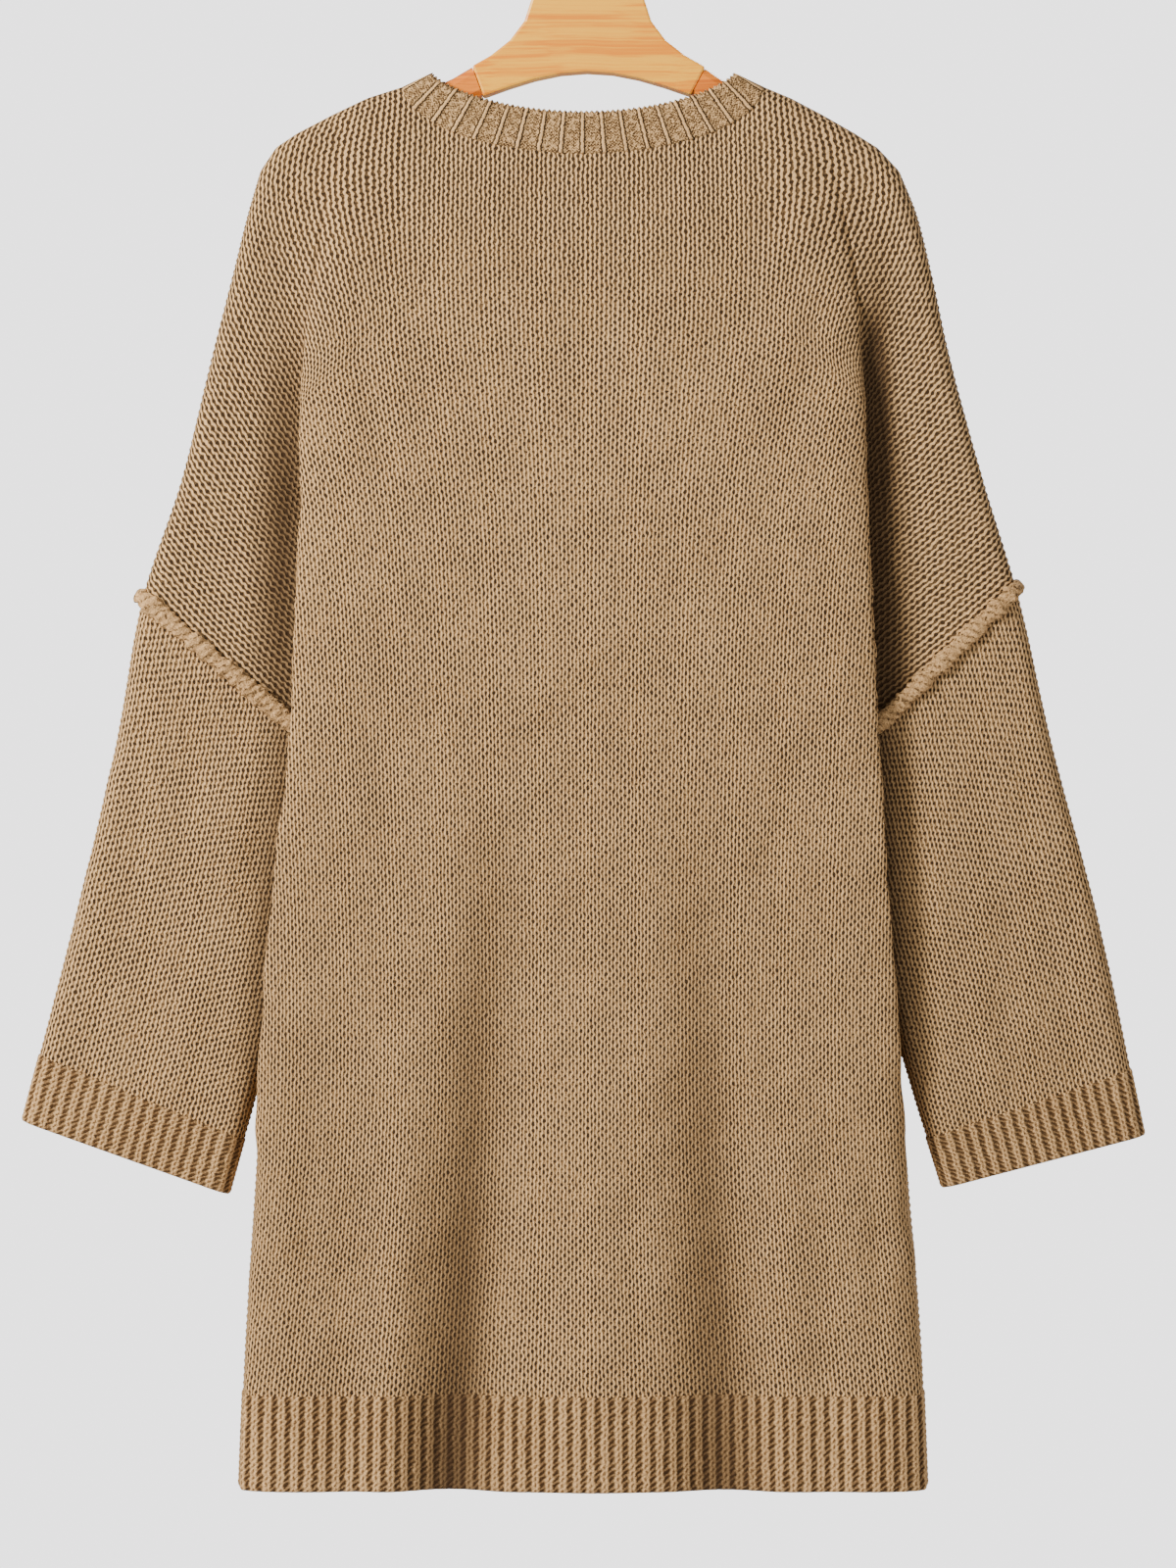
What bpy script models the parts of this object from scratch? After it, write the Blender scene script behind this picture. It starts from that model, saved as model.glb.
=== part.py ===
"""A long drop-shoulder sweater dress hanging on a wooden hanger.

Lengths are in millimetres, and the meshes are scaled to metres as they are made.
X runs across the dress, Z is up and the shown side faces -Y. The origin is the top of
the inside of the hanger's hook, and a "drop" is a distance below that point.
"""
import math

import bmesh
import bpy
from mathutils import Vector

METRES = 0.001

# Cloth
WALL = 3.0               # thickness of the knitted cloth
GAP = 0.3                # clearance between pieces that meet
RIM_GAP = 0.85           # and where their rims are curved
CAP_DEPTH = 11.0         # outer face of sleeves and sleeve caps, from the middle plane
EDGE_ROUND = 11.0        # how far in from an edge the cloth takes to reach that depth
SHOULDER_FALL = 267.0    # drop where the yoke ends and the side folds begin
GROOVE_END = 800.0       # drop where the side groove has faded out
HEM_TOP = 961.0
HEM_BOTTOM = 1019.0

# The garment's outer edge: shoulder tip, sleeve cap, sleeve. drop, left x, right x
EDGE = [
    (203.0, -204.0, 194.0),
    (231.0, -212.0, 205.0),
    (267.0, -221.0, 214.0),
    (322.0, -235.0, 226.0),
    (395.0, -253.0, 246.0),
    (468.0, -277.0, 268.0),
    (560.0, -294.0, 289.0),
    (670.0, -320.0, 318.0),
    (801.0, -354.0, 346.0),
]
# The shoulder line, from the neck out to the tip. drop, left x, right x
SHOULDER = [
    (150.0, -115.0, 109.0),
    (157.0, -137.0, 126.0),
    (167.0, -158.0, 145.0),
    (179.0, -181.0, 166.0),
    (188.0, -194.0, 180.0),
    (203.0, -204.0, 194.0),
]
# Folded edge of the body beside each sleeve, how far the cloth tucks in behind it,
# the softness of the fold and the body's depth. drop, left x, right x, tuck, soft, depth
FOLD = [
    (267.0, -171.0, 167.0, 0.0, 30.0, 21.0),
    (340.0, -178.0, 171.0, 6.0, 24.0, 27.0),
    (401.0, -183.0, 173.0, 14.0, 18.0, 30.0),
    (470.0, -187.0, 176.0, 25.0, 15.0, 31.0),
    (574.0, -190.0, 181.0, 41.0, 14.0, 31.0),
    (640.0, -194.0, 185.0, 38.0, 14.0, 31.0),
    (706.0, -200.0, 190.0, 24.0, 14.0, 31.0),
    (767.0, -204.0, 194.0, 7.0, 16.0, 31.0),
    (816.0, -206.0, 198.0, 0.0, 22.0, 31.0),
    (926.0, -213.0, 207.0, 0.0, 32.0, 31.0),
    (1019.0, -217.0, 211.0, 0.0, 36.0, 30.0),
]
# Corners of each sleeve by side, as (x, drop); the outer ones lie on the outer edge
SEAM_DROP = {-1: 468.0, 1: 462.0}
UNDERARM = {-1: (-157.0, 569.0), 1: (149.0, 578.0)}
CUFF_INNER = {-1: (-223.0, 838.0), 1: (220.0, 834.0)}
CUFF_DROP = {-1: 792.0, 1: 801.0}
INNER_BOW = 3.0          # the sleeve's inner edge bows in this far from straight
CUFF_LENGTH = 41.0

# Soft vertical folds of the lower body. start drop, x there, x at the hem, half width, depth
BACK_FOLDS = [
    (600.0, -58.0, -76.0, 36.0, 14.0),
    (620.0, 60.0, 88.0, 36.0, 14.0),
    (560.0, -2.0, 4.0, 46.0, -4.0),
    (640.0, -140.0, -152.0, 30.0, 4.0),
    (700.0, 150.0, 158.0, 26.0, 4.0),
]
FRONT_FOLDS = [
    (580.0, -24.0, -34.0, 40.0, 13.0),
    (640.0, 98.0, 112.0, 34.0, 12.0),
    (600.0, 38.0, 40.0, 36.0, -4.0),
    (660.0, -118.0, -136.0, 32.0, 8.0),
]

# Neck
NECK_CENTRE = -3.0
NECK_DROP = 150.0
BACK_NECK_DEPTH = 43.0
FRONT_NECK_DEPTH = 84.0
BAND_HALF_WIDTH = 94.0   # half width of the band's top edge
BAND_TOP_DROP = 142.0
BAND_HEIGHT = 26.0
BAND_THICK = 4.0
BAND_RIBS = 48
BAND_RIB_RISE = 1.1

# Ribs of the hem and cuffs
HEM_RIBS = 112
CUFF_RIBS = 38
RIB_RISE = 1.1

# Raised seam between sleeve and body
ROLL_HALF_WIDTH = 5.5
ROLL_RISE = 3.6
ROLL_LIFT = 1.1          # clearance under the roll
ROLL_EDGE_LIFT = 1.0     # and how much more of it there is at the outer edge
ROLL_REACH = 0.78        # share of the seam, from its outer end, that the roll covers

# Hanger
HANGER_HALF_THICK = 6.5
HEAD_TOP = 64.0
HEAD_HALF_WIDTH = 30.0
ARCH_RISE = 15.0
ARM_BURIED = 10.0        # the arm's top below the outside of the shoulder, beside the neck
ARM_SEAT = 7.5           # and towards the shoulder tip
WIRE_RADIUS = 1.7
HOOK_RADIUS = 18.0       # inside of the hook

# Grid of each body panel
SIDE_COLUMNS = 11
BODY_COLUMNS = 14
YOKE_ROWS = (0.0, 0.02, 0.06, 0.13, 0.3, 0.62)
ROWS_TO_SEAM = 5
ROWS_ON_SEAM = 4
ROWS_TO_GROOVE_END = 6
ROWS_TO_HEM = 4
SLEEVE_HALF_COLUMNS = 10
SLEEVE_ROWS = 9

COLOURS = {
    "knit": (0.44, 0.31, 0.17, 1.0),
    "yoke_wood": (0.78, 0.50, 0.24, 1.0),
    "arm_wood": (0.62, 0.31, 0.12, 1.0),
    "metal": (0.60, 0.60, 0.62, 1.0),
}


# ---------------------------------------------------------------- sums and curves

def mix(a, b, share):
    return a + (b - a) * share


def clamp(value, low=0.0, high=1.0):
    return max(low, min(high, value))


def ease(share):
    share = clamp(share)
    return share * share * (3.0 - 2.0 * share)


def rounded(distance):
    """Depth share of cloth this far in from an edge: a quarter round, then flat."""
    inward = 1.0 - clamp(distance / EDGE_ROUND)
    return math.sqrt(1.0 - inward * inward)


def read(table, drop, column):
    """A column of a table at any drop, on a smooth curve through its rows."""
    rows = [(row[0], row[column]) for row in table]
    if drop <= rows[0][0]:
        return rows[0][1]
    if drop >= rows[-1][0]:
        return rows[-1][1]
    k = next(i for i in range(len(rows) - 1) if drop <= rows[i + 1][0])
    span = rows[k + 1][0] - rows[k][0]

    def slope(i):
        low, high = max(i - 1, 0), min(i + 1, len(rows) - 1)
        return (rows[high][1] - rows[low][1]) / (rows[high][0] - rows[low][0])

    t = (drop - rows[k][0]) / span
    start, end = rows[k][1], rows[k + 1][1]
    return ((2 * t**3 - 3 * t**2 + 1) * start + (t**3 - 2 * t**2 + t) * span * slope(k)
            + (3 * t**2 - 2 * t**3) * end + (t**3 - t**2) * span * slope(k + 1))


def resample(path, count, bend_weight=0.0):
    """Points spread along a path, closer together where it bends."""
    costs = []
    for k in range(len(path) - 1):
        step = path[k + 1] - path[k]
        bend = 0.0
        if k > 0 and step.length > 1e-6 and (path[k] - path[k - 1]).length > 1e-6:
            bend = step.angle(path[k] - path[k - 1])
        costs.append(step.length + bend_weight * bend)
    total = sum(costs)
    points, k, passed = [path[0].copy()], 0, 0.0
    for n in range(1, count):
        goal = total * n / count
        while passed + costs[k] < goal:
            passed += costs[k]
            k += 1
        points.append(path[k].lerp(path[k + 1], (goal - passed) / costs[k]))
    return points + [path[-1].copy()]


def distance_to(path, point):
    best = 1e9
    for a, b in zip(path, path[1:]):
        run = b - a
        share = clamp((point - a).dot(run) / run.length_squared)
        best = min(best, (a + run * share - point).length)
    return best


# ---------------------------------------------------------------- the dress's form

def column_of(side):
    return 1 if side < 0 else 2


def edge_x(side, drop):
    return read(EDGE, drop, column_of(side))


def fold_x(side, drop):
    return read(FOLD, drop, column_of(side))


def body_depth(folds, x, drop):
    """Depth of the body from the middle plane, with its soft vertical folds."""
    depth = read(FOLD, drop, 5)
    for start, x_start, x_hem, half_width, deep in folds:
        fade = ease((drop - start) / (HEM_BOTTOM - start))
        centre = mix(x_start, x_hem, (drop - start) / (HEM_BOTTOM - start))
        off = abs(x - centre) / half_width
        if off < 1.0:
            depth -= deep * fade * (0.5 + 0.5 * math.cos(math.pi * off))
    return depth


def on_edge(side, drop):
    return Vector((edge_x(side, drop), drop))


def seam_point(side, share):
    """A point of the drop seam in the (x, drop) plane, outer end to underarm."""
    return on_edge(side, SEAM_DROP[side]).lerp(Vector(UNDERARM[side]), share)


def seam_length(side):
    return (seam_point(side, 1.0) - seam_point(side, 0.0)).length


def tube_depth(across, width):
    """Half depth of a flattened sleeve at a share of its width."""
    return CAP_DEPTH * rounded(across * width * 0.95) * rounded((1.0 - across) * width * 0.95)


def side_slice(side, drop):
    """Level cut of one side: cap, gully, folded edge and start of the body.

    The points are (x, depth), from the piece's outer edge in. The fold is the curve
    x = soft * t - swing * sin(pi * t), which laps over itself as the swing grows.
    """
    tuck, soft = read(FOLD, drop, 3), read(FOLD, drop, 4)
    depth = read(FOLD, drop, 5)
    swing = 0.3 * soft + 0.5 * tuck + 0.15 * soft * min(1.0, tuck / soft)
    steps = [k / 40.0 for k in range(-40, 41)]
    lap = {t: soft * t - swing * math.sin(math.pi * t) for t in steps}
    turn = max((t for t in steps if -0.6 <= t <= -0.3), key=lambda t: lap[t])
    lowest = min(lap[t] for t in steps if t >= turn)
    centre = fold_x(side, drop) + side * lowest

    def x_at(t):
        return centre - side * lap[t]

    on_body = drop > UNDERARM[side][1] + 0.01
    turn_depth = 0.0 if on_body else CAP_DEPTH + WALL
    quick_share = mix(0.45, 0.15, ease(tuck / 12.0))
    path = []
    if not on_body:
        path += cap_part(side, drop, steps, turn, x_at)
    for t in steps:
        if t < turn:
            continue
        share = (t - turn) / (1.0 - turn)
        quick = clamp(share / quick_share)
        rise = math.sqrt(1.0 - (1.0 - quick) ** 2)
        y = turn_depth + (0.5 * depth - turn_depth) * rise + 0.5 * depth * ease(share)
        path.append(Vector((x_at(t), y)))
    return path


def cap_part(side, drop, steps, turn, x_at):
    """The flattened sleeve cap, from its edge or the drop seam in to the gully."""
    share = (drop - SEAM_DROP[side]) / (UNDERARM[side][1] - SEAM_DROP[side])
    if share <= 0.0:
        start_x, start_depth = edge_x(side, drop), 0.0
    else:
        start_x = seam_point(side, share)[0]
        start_depth = tube_depth(share, seam_length(side))

    def depth_at(x):
        inward = abs(x - start_x)
        if share <= 0.0:
            return CAP_DEPTH * rounded(inward)
        return mix(start_depth, CAP_DEPTH, ease(inward / 12.0))

    path = []
    flat_end = x_at(-1.0)
    if (flat_end - start_x) * side < 0.0:
        count = 40
        for k in range(count):
            x = mix(start_x, flat_end, (k / count) ** 2)
            path.append(Vector((x, depth_at(x))))
    for t in steps:
        if t >= turn or (x_at(t) - start_x) * side > 0.0:
            continue
        toward = ((t + 1.0) / (turn + 1.0)) ** 3
        x = x_at(t)
        if not path:
            path.append(Vector((start_x, start_depth)))
        path.append(Vector((x, mix(depth_at(x), CAP_DEPTH + WALL, toward))))
    if not path:
        path.append(Vector((start_x, start_depth)))
    return path


def body_run(left_end, right_end, folds, drops, count):
    """Points across the body between its two folded edges."""
    run = []
    for k in range(1, count):
        share = k / count
        x = mix(left_end[0], right_end[0], share)
        drop = mix(drops[0], drops[1], share)
        ends = ease(min(share, 1.0 - share) * 8.0)
        plain = mix(left_end[1], right_end[1], share)
        run.append(Vector((x, mix(plain, body_depth(folds, x, drop), ends), drop)))
    return run


def panel_row(drops, folds, side_columns, body_columns, bend_weight):
    """One row of a panel as (x, depth, drop), left edge to right edge."""
    left = resample(side_slice(-1, drops[0]), side_columns, bend_weight)
    right = resample(side_slice(1, drops[1]), side_columns, bend_weight)
    row = [Vector((p[0], p[1], drops[0])) for p in left]
    row += body_run(left[-1], right[-1], folds, drops, body_columns)
    row += [Vector((p[0], p[1], drops[1])) for p in reversed(right)]
    return row


def row_stations():
    """The (left drop, right drop) of each row below the yoke."""
    stages = [
        (SHOULDER_FALL, SHOULDER_FALL, ROWS_TO_SEAM),
        (SEAM_DROP[-1], SEAM_DROP[1], ROWS_ON_SEAM),
        (UNDERARM[-1][1], UNDERARM[1][1], ROWS_TO_GROOVE_END),
        (GROOVE_END, GROOVE_END, ROWS_TO_HEM),
        (HEM_TOP, HEM_TOP, 0),
    ]
    stations = []
    for here, following in zip(stages, stages[1:]):
        for k in range(here[2]):
            share = k / here[2]
            stations.append((mix(here[0], following[0], share), mix(here[1], following[1], share)))
    return stations + [(HEM_TOP, HEM_TOP)]


def shoulder_path(side):
    """The shoulder line and the top of the cap edge, as (x, drop) points."""
    path = [Vector((row[column_of(side)], row[0])) for row in SHOULDER]
    return path + [Vector((edge_x(side, drop), drop)) for drop in (231.0, 267.0, 322.0)]


def shoulder_distance(x, drop):
    return min(distance_to(shoulder_path(side), Vector((x, drop))) for side in (-1, 1))


def neck_angle(share):
    """Angle round the neck's half ellipse; stations crowd towards the shoulders."""
    return math.pi * (share - 0.1 * math.sin(2.0 * math.pi * share))


def neck_point(share, depth):
    """A point of the neckline, left shoulder to right shoulder, on a half ellipse."""
    left, right = SHOULDER[0][1], SHOULDER[0][2]
    angle = neck_angle(share)
    x = mix(left, right, 0.5 - 0.5 * math.cos(angle))
    return Vector((x, NECK_DROP + depth * math.sin(angle)))


def top_edge(neck_depth, side_columns, body_columns):
    """Top edge of a panel as (x, drop): shoulder, neckline, shoulder."""
    lines = {}
    for side in (-1, 1):
        line = [Vector((row[column_of(side)], row[0])) for row in reversed(SHOULDER)]
        lines[side] = resample(line, side_columns + 1)
    neck_columns = body_columns - 2
    neck = [neck_point(k / neck_columns, neck_depth) for k in range(1, neck_columns)]
    return lines[-1] + neck + list(reversed(lines[1]))


def yoke_rows(first_row, neck_depth, side_columns, body_columns, shares):
    """Rows from the top edge down to the first full row, on a blended patch."""
    top = top_edge(neck_depth, side_columns, body_columns)
    last = len(top) - 1
    fall = SHOULDER_FALL - EDGE[0][0]
    rows = []
    for v in shares:
        drop = EDGE[0][0] + fall * v
        sides = [Vector((edge_x(side, drop), drop)) for side in (-1, 1)]
        row = []
        for j in range(last + 1):
            u = j / last
            low = Vector((first_row[j][0], first_row[j][2]))
            ends = [Vector((first_row[i][0], first_row[i][2])) for i in (0, last)]
            corner = (top[0].lerp(top[last], u)).lerp(ends[0].lerp(ends[1], u), v)
            spot = top[j].lerp(low, v) + sides[0].lerp(sides[1], u) - corner
            extra = first_row[j][1] - CAP_DEPTH * rounded(shoulder_distance(*low))
            on_edge = j in (0, last)
            near = 0.0 if on_edge else CAP_DEPTH * rounded(shoulder_distance(*spot))
            depth = near + (0.0 if on_edge else ease(v) * extra)
            row.append(Vector((spot[0], depth, spot[1])))
        rows.append(row)
    return rows


def panel_grid(neck_depth, folds):
    stations = row_stations()
    rows = [panel_row(d, folds, SIDE_COLUMNS, BODY_COLUMNS, 7.0) for d in stations]
    yoke = yoke_rows(rows[0], neck_depth, SIDE_COLUMNS, BODY_COLUMNS, YOKE_ROWS)
    return yoke + rows


def sleeve_edges(side, v):
    """Outer and inner edge of the sleeve as (x, drop), drop seam to wrist."""
    outer = on_edge(side, mix(SEAM_DROP[side], CUFF_DROP[side], v))
    inner = Vector(UNDERARM[side]).lerp(Vector(CUFF_INNER[side]), v)
    inner[0] -= side * INNER_BOW * math.sin(math.pi * v)
    return outer, inner


def sleeve_ring(side, v, half_columns):
    """Closed ring of the sleeve as (x, y, drop): near side out and far side back."""
    outer, inner = sleeve_edges(side, v)
    width = (inner - outer).length
    ring = []
    for k in range(2 * half_columns):
        turn = math.pi * k / half_columns
        across = 0.5 - 0.5 * math.cos(turn)
        spot = outer.lerp(inner, across)
        depth = tube_depth(across, width)
        face = -1.0 if k < half_columns else 1.0
        if k in (0, half_columns):
            depth = 0.0
        ring.append(Vector((spot[0], face * depth, spot[1])))
    return ring


# ---------------------------------------------------------------- walls and objects

def normals_of(grid, closed):
    """Unit normals of a grid of points, from its neighbouring points."""
    rows, columns = len(grid), len(grid[0])
    result = []
    for i in range(rows):
        line = []
        for j in range(columns):
            before = (j - 1) % columns if closed else max(j - 1, 0)
            after = (j + 1) % columns if closed else min(j + 1, columns - 1)
            across = grid[i][after] - grid[i][before]
            down = grid[min(i + 1, rows - 1)][j] - grid[max(i - 1, 0)][j]
            line.append(across.cross(down).normalized())
        result.append(line)
    return result


def place(point):
    """(x, y, drop) in millimetres to a place in metres."""
    return Vector((point[0], point[1], -point[2])) * METRES


def skin(bm, grid, closed):
    """Faces over a grid of vertices."""
    columns = len(grid[0])
    for upper, lower in zip(grid, grid[1:]):
        for j in range(columns if closed else columns - 1):
            k = (j + 1) % columns
            bm.faces.new((upper[j], upper[k], lower[k], lower[j]))


def wall_mesh(outer, inner, closed):
    """A closed wall between two grids of the same size."""
    bm = bmesh.new()
    out = [[bm.verts.new(place(p)) for p in row] for row in outer]
    inn = [[bm.verts.new(place(p)) for p in row] for row in inner]
    skin(bm, out, closed)
    skin(bm, inn, closed)
    skin(bm, [out[0], inn[0]], closed)
    skin(bm, [out[-1], inn[-1]], closed)
    if not closed:
        skin(bm, [[r[0] for r in out], [r[0] for r in inn]], False)
        skin(bm, [[r[-1] for r in out], [r[-1] for r in inn]], False)
    return bm


def finish_object(name, bm, material, sharp=40.0):
    bmesh.ops.recalc_face_normals(bm, faces=bm.faces)
    mesh = bpy.data.meshes.new(name)
    bm.to_mesh(mesh)
    bm.free()
    return add_object(name, mesh, material, sharp)


def add_object(name, mesh, material, sharp=40.0):
    item = bpy.data.objects.new(name, mesh)
    mesh.materials.append(material)
    mesh.shade_smooth()
    mesh.set_sharp_from_angle(angle=math.radians(sharp))
    COLLECTION.objects.link(item)
    return item


def make_material(name, colour, roughness, metallic=0.0):
    material = bpy.data.materials.new(name)
    material.use_nodes = True
    shader = material.node_tree.nodes["Principled BSDF"]
    shader.inputs["Base Color"].default_value = colour
    shader.inputs["Roughness"].default_value = roughness
    shader.inputs["Metallic"].default_value = metallic
    return material


# ---------------------------------------------------------------- body panels

def seam_axis(side):
    """Direction of the sleeve at the drop seam, square to the seam, as (x, 0, drop)."""
    run = seam_point(side, 1.0) - seam_point(side, 0.0)
    return Vector((side * run[1], 0.0, -side * run[0])).normalized()


def panel_walls(face, neck_depth, folds):
    """Outer and inner points of one panel; face is -1 for the shown side."""
    depths = panel_grid(neck_depth, folds)
    grid = [[Vector((p[0], face * max(p[1], 0.5 * GAP), p[2])) for p in row] for row in depths]
    normals = [[n * -face for n in line] for line in normals_of(grid, False)]
    trim_normals(grid, normals, face)
    walls = [[p - n * WALL for p, n in zip(row, line)] for row, line in zip(grid, normals)]
    return grid, walls


def trim_normals(grid, normals, face):
    """Turn the edge normals so that the wall's rims lie flat against their neighbours."""
    first_seam_row = len(YOKE_ROWS) + ROWS_TO_SEAM
    last = len(grid[0]) - 1
    neck_first, neck_last = SIDE_COLUMNS + 1, last - SIDE_COLUMNS - 1
    for i, line in enumerate(normals):
        for j, side in ((0, -1), (last, 1)):
            n = line[j]
            on_seam = first_seam_row < i < first_seam_row + ROWS_ON_SEAM
            if on_seam:
                axis = seam_axis(side)
                n = n - axis * n.dot(axis)
            else:
                n = Vector((side * abs(n[0]), 0.0, n[2]))
                if i == first_seam_row or i >= first_seam_row + ROWS_ON_SEAM:
                    n = Vector((side, 0.0, 0.0))
            line[j] = n.normalized()
    for j, n in enumerate(normals[0]):
        if j <= neck_first or j >= neck_last:
            normals[0][j] = shoulder_normal(grid[0], j)
        else:
            normals[0][j] = Vector((0.0, face, 0.0))
    for j, n in enumerate(normals[-1]):
        normals[-1][j] = Vector((n[0], n[1], 0.0)).normalized()


def shoulder_normal(row, j):
    """Upward normal of the shoulder line in the middle plane."""
    run = row[min(j + 1, len(row) - 1)] - row[max(j - 1, 0)]
    up = Vector((run[2], 0.0, -run[0])).normalized()
    return up if up[2] < 0.0 else -up


def make_panel(name, face, neck_depth, folds, material):
    outer, inner = panel_walls(face, neck_depth, folds)
    finish_object(name, wall_mesh(outer, inner, False), material)
    return outer, inner


# ---------------------------------------------------------------- sleeves and bands

def shift(ring, offset):
    return [p + offset for p in ring]


def tube_walls(rings, rise):
    """Outer and inner points of a tube; rise lifts every second outer point."""
    normals = normals_of(rings, True)
    middle = sum((p for p in rings[0]), Vector()) / len(rings[0])
    outward = (rings[0][0] - middle).dot(normals[0][0])
    sign = 1.0 if outward > 0.0 else -1.0
    outer, inner = [], []
    for row, line in zip(rings, normals):
        outer.append([p + n * sign * (rise if k % 2 else 0.0)
                      for k, (p, n) in enumerate(zip(row, line))])
        inner.append([p - n * sign * WALL for p, n in zip(row, line)])
    return outer, inner


def flatten_ends(outer, inner, axes):
    """Move the inner end points along the tube so that each end is one flat ring."""
    for row, axis in zip((0, -1), axes):
        spot = outer[row][0]
        for k, point in enumerate(inner[row]):
            inner[row][k] = point - axis * (point - spot).dot(axis)
        for k, point in enumerate(outer[row]):
            outer[row][k] = point - axis * (point - spot).dot(axis)


def cuff_share(side):
    length = (on_edge(side, CUFF_DROP[side]) - seam_point(side, 0.0)).length
    return 1.0 - CUFF_LENGTH / length


def ring_axis(side, v):
    outer, inner = sleeve_edges(side, v)
    run = inner - outer
    axis = Vector((run[1], 0.0, -run[0])).normalized()
    return axis if axis[2] > 0.0 else -axis


def make_sleeve(name, side, material):
    end = cuff_share(side)
    rings = [sleeve_ring(side, end * k / SLEEVE_ROWS, SLEEVE_HALF_COLUMNS)
             for k in range(SLEEVE_ROWS + 1)]
    axis = seam_axis(side)
    rings[0] = shift(rings[0], axis * RIM_GAP)
    outer, inner = tube_walls(rings, 0.0)
    flatten_ends(outer, inner, (axis, ring_axis(side, end)))
    finish_object(name, wall_mesh(outer, inner, True), material)


def make_cuff(name, side, material):
    start = cuff_share(side)
    rings = [resample_ring(sleeve_ring(side, v, 60), 2 * CUFF_RIBS) for v in (start, 1.0)]
    axis = ring_axis(side, start)
    rings[0] = shift(rings[0], axis * GAP)
    outer, inner = tube_walls(rings, RIB_RISE)
    flatten_ends(outer, inner, (axis, ring_axis(side, 1.0)))
    finish_object(name, wall_mesh(outer, inner, True), material)


def resample_ring(ring, count):
    return resample(ring + [ring[0]], count)[:-1]


def body_ring(drop, count):
    """Closed level ring of the body as (x, y, drop)."""
    ring = []
    for face, folds in ((-1.0, BACK_FOLDS), (1.0, FRONT_FOLDS)):
        row = panel_row((drop, drop), folds, 30, 60, 0.0)
        if face > 0.0:
            row = list(reversed(row))
        ring += [Vector((p[0], face * p[1], drop)) for p in row[:-1]]
    return resample_ring(ring, count)


def make_hem(material):
    rings = [body_ring(drop, 2 * HEM_RIBS) for drop in (HEM_TOP, HEM_BOTTOM)]
    down = Vector((0.0, 0.0, 1.0))
    rings[0] = shift(rings[0], down * GAP)
    outer, inner = tube_walls(rings, RIB_RISE)
    flatten_ends(outer, inner, (down, down))
    finish_object("hem_band", wall_mesh(outer, inner, True), material)


# ---------------------------------------------------------------- neckband

def band_top(share, face):
    """Top edge of the neckband as (x, y, drop), left to right, on one face."""
    depth = BACK_NECK_DEPTH if face < 0 else FRONT_NECK_DEPTH
    angle = neck_angle(share)
    fall = depth - BAND_HEIGHT + NECK_DROP - BAND_TOP_DROP
    drop = BAND_TOP_DROP + fall * max(math.sin(angle), 0.0) ** 1.4
    x = NECK_CENTRE - BAND_HALF_WIDTH * math.cos(angle)
    y = face * (CAP_DEPTH - 0.5) * rounded(EDGE_ROUND * 2.2 * math.sin(angle))
    return Vector((x, y, drop))


def band_bottoms(panels):
    """The neckline's outer and inner points, shown side left to right and back again."""
    first, last = SIDE_COLUMNS + 1, SIDE_COLUMNS + BODY_COLUMNS - 1
    back, front = panels
    loops = []
    for wall in (0, 1):
        near = back[wall][0][first:last + 1]
        far = list(reversed(front[wall][0][first:last + 1]))
        loops.append(near + far)
    return loops


def make_neckband(panels, material):
    """A ribbed ring that stands on the neckline and leans in towards its top."""
    outer_low, inner_low = band_bottoms(panels)
    half = len(outer_low) // 2
    count = 2 * BAND_RIBS
    grids = ([], [], [], [])
    for k in range(count):
        face = -1 if k < BAND_RIBS else 1
        where = (k % BAND_RIBS) / BAND_RIBS
        top = band_top(where if face < 0 else 1.0 - where, face)
        path = slice(0, half) if face < 0 else slice(half, 2 * half)
        low_out = along_columns(outer_low[path], where)
        low_in = along_columns(inner_low[path], where)
        up = (top - (low_out + low_in) * 0.5).normalized()
        out = (low_out - low_in).normalized()
        out = (out - up * out.dot(up)).normalized()
        rib = BAND_RIB_RISE if k % 2 else 0.0
        grids[0].append(low_out + up * RIM_GAP + out * rib)
        grids[1].append(top + out * (0.5 * BAND_THICK + rib))
        grids[2].append(top - out * 0.5 * BAND_THICK)
        grids[3].append(low_in + up * RIM_GAP)
    bm = bmesh.new()
    rings = [[bm.verts.new(place(p)) for p in row] for row in grids]
    skin(bm, rings + [rings[0]], True)
    finish_object("neckband", bm, material)


def along_columns(path, share):
    """The point at a share of a polyline, counting each of its steps the same."""
    spot = clamp(share) * (len(path) - 1)
    k = min(int(spot), len(path) - 2)
    return path[k].lerp(path[k + 1], spot - k)


# ---------------------------------------------------------------- raised drop seams

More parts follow.
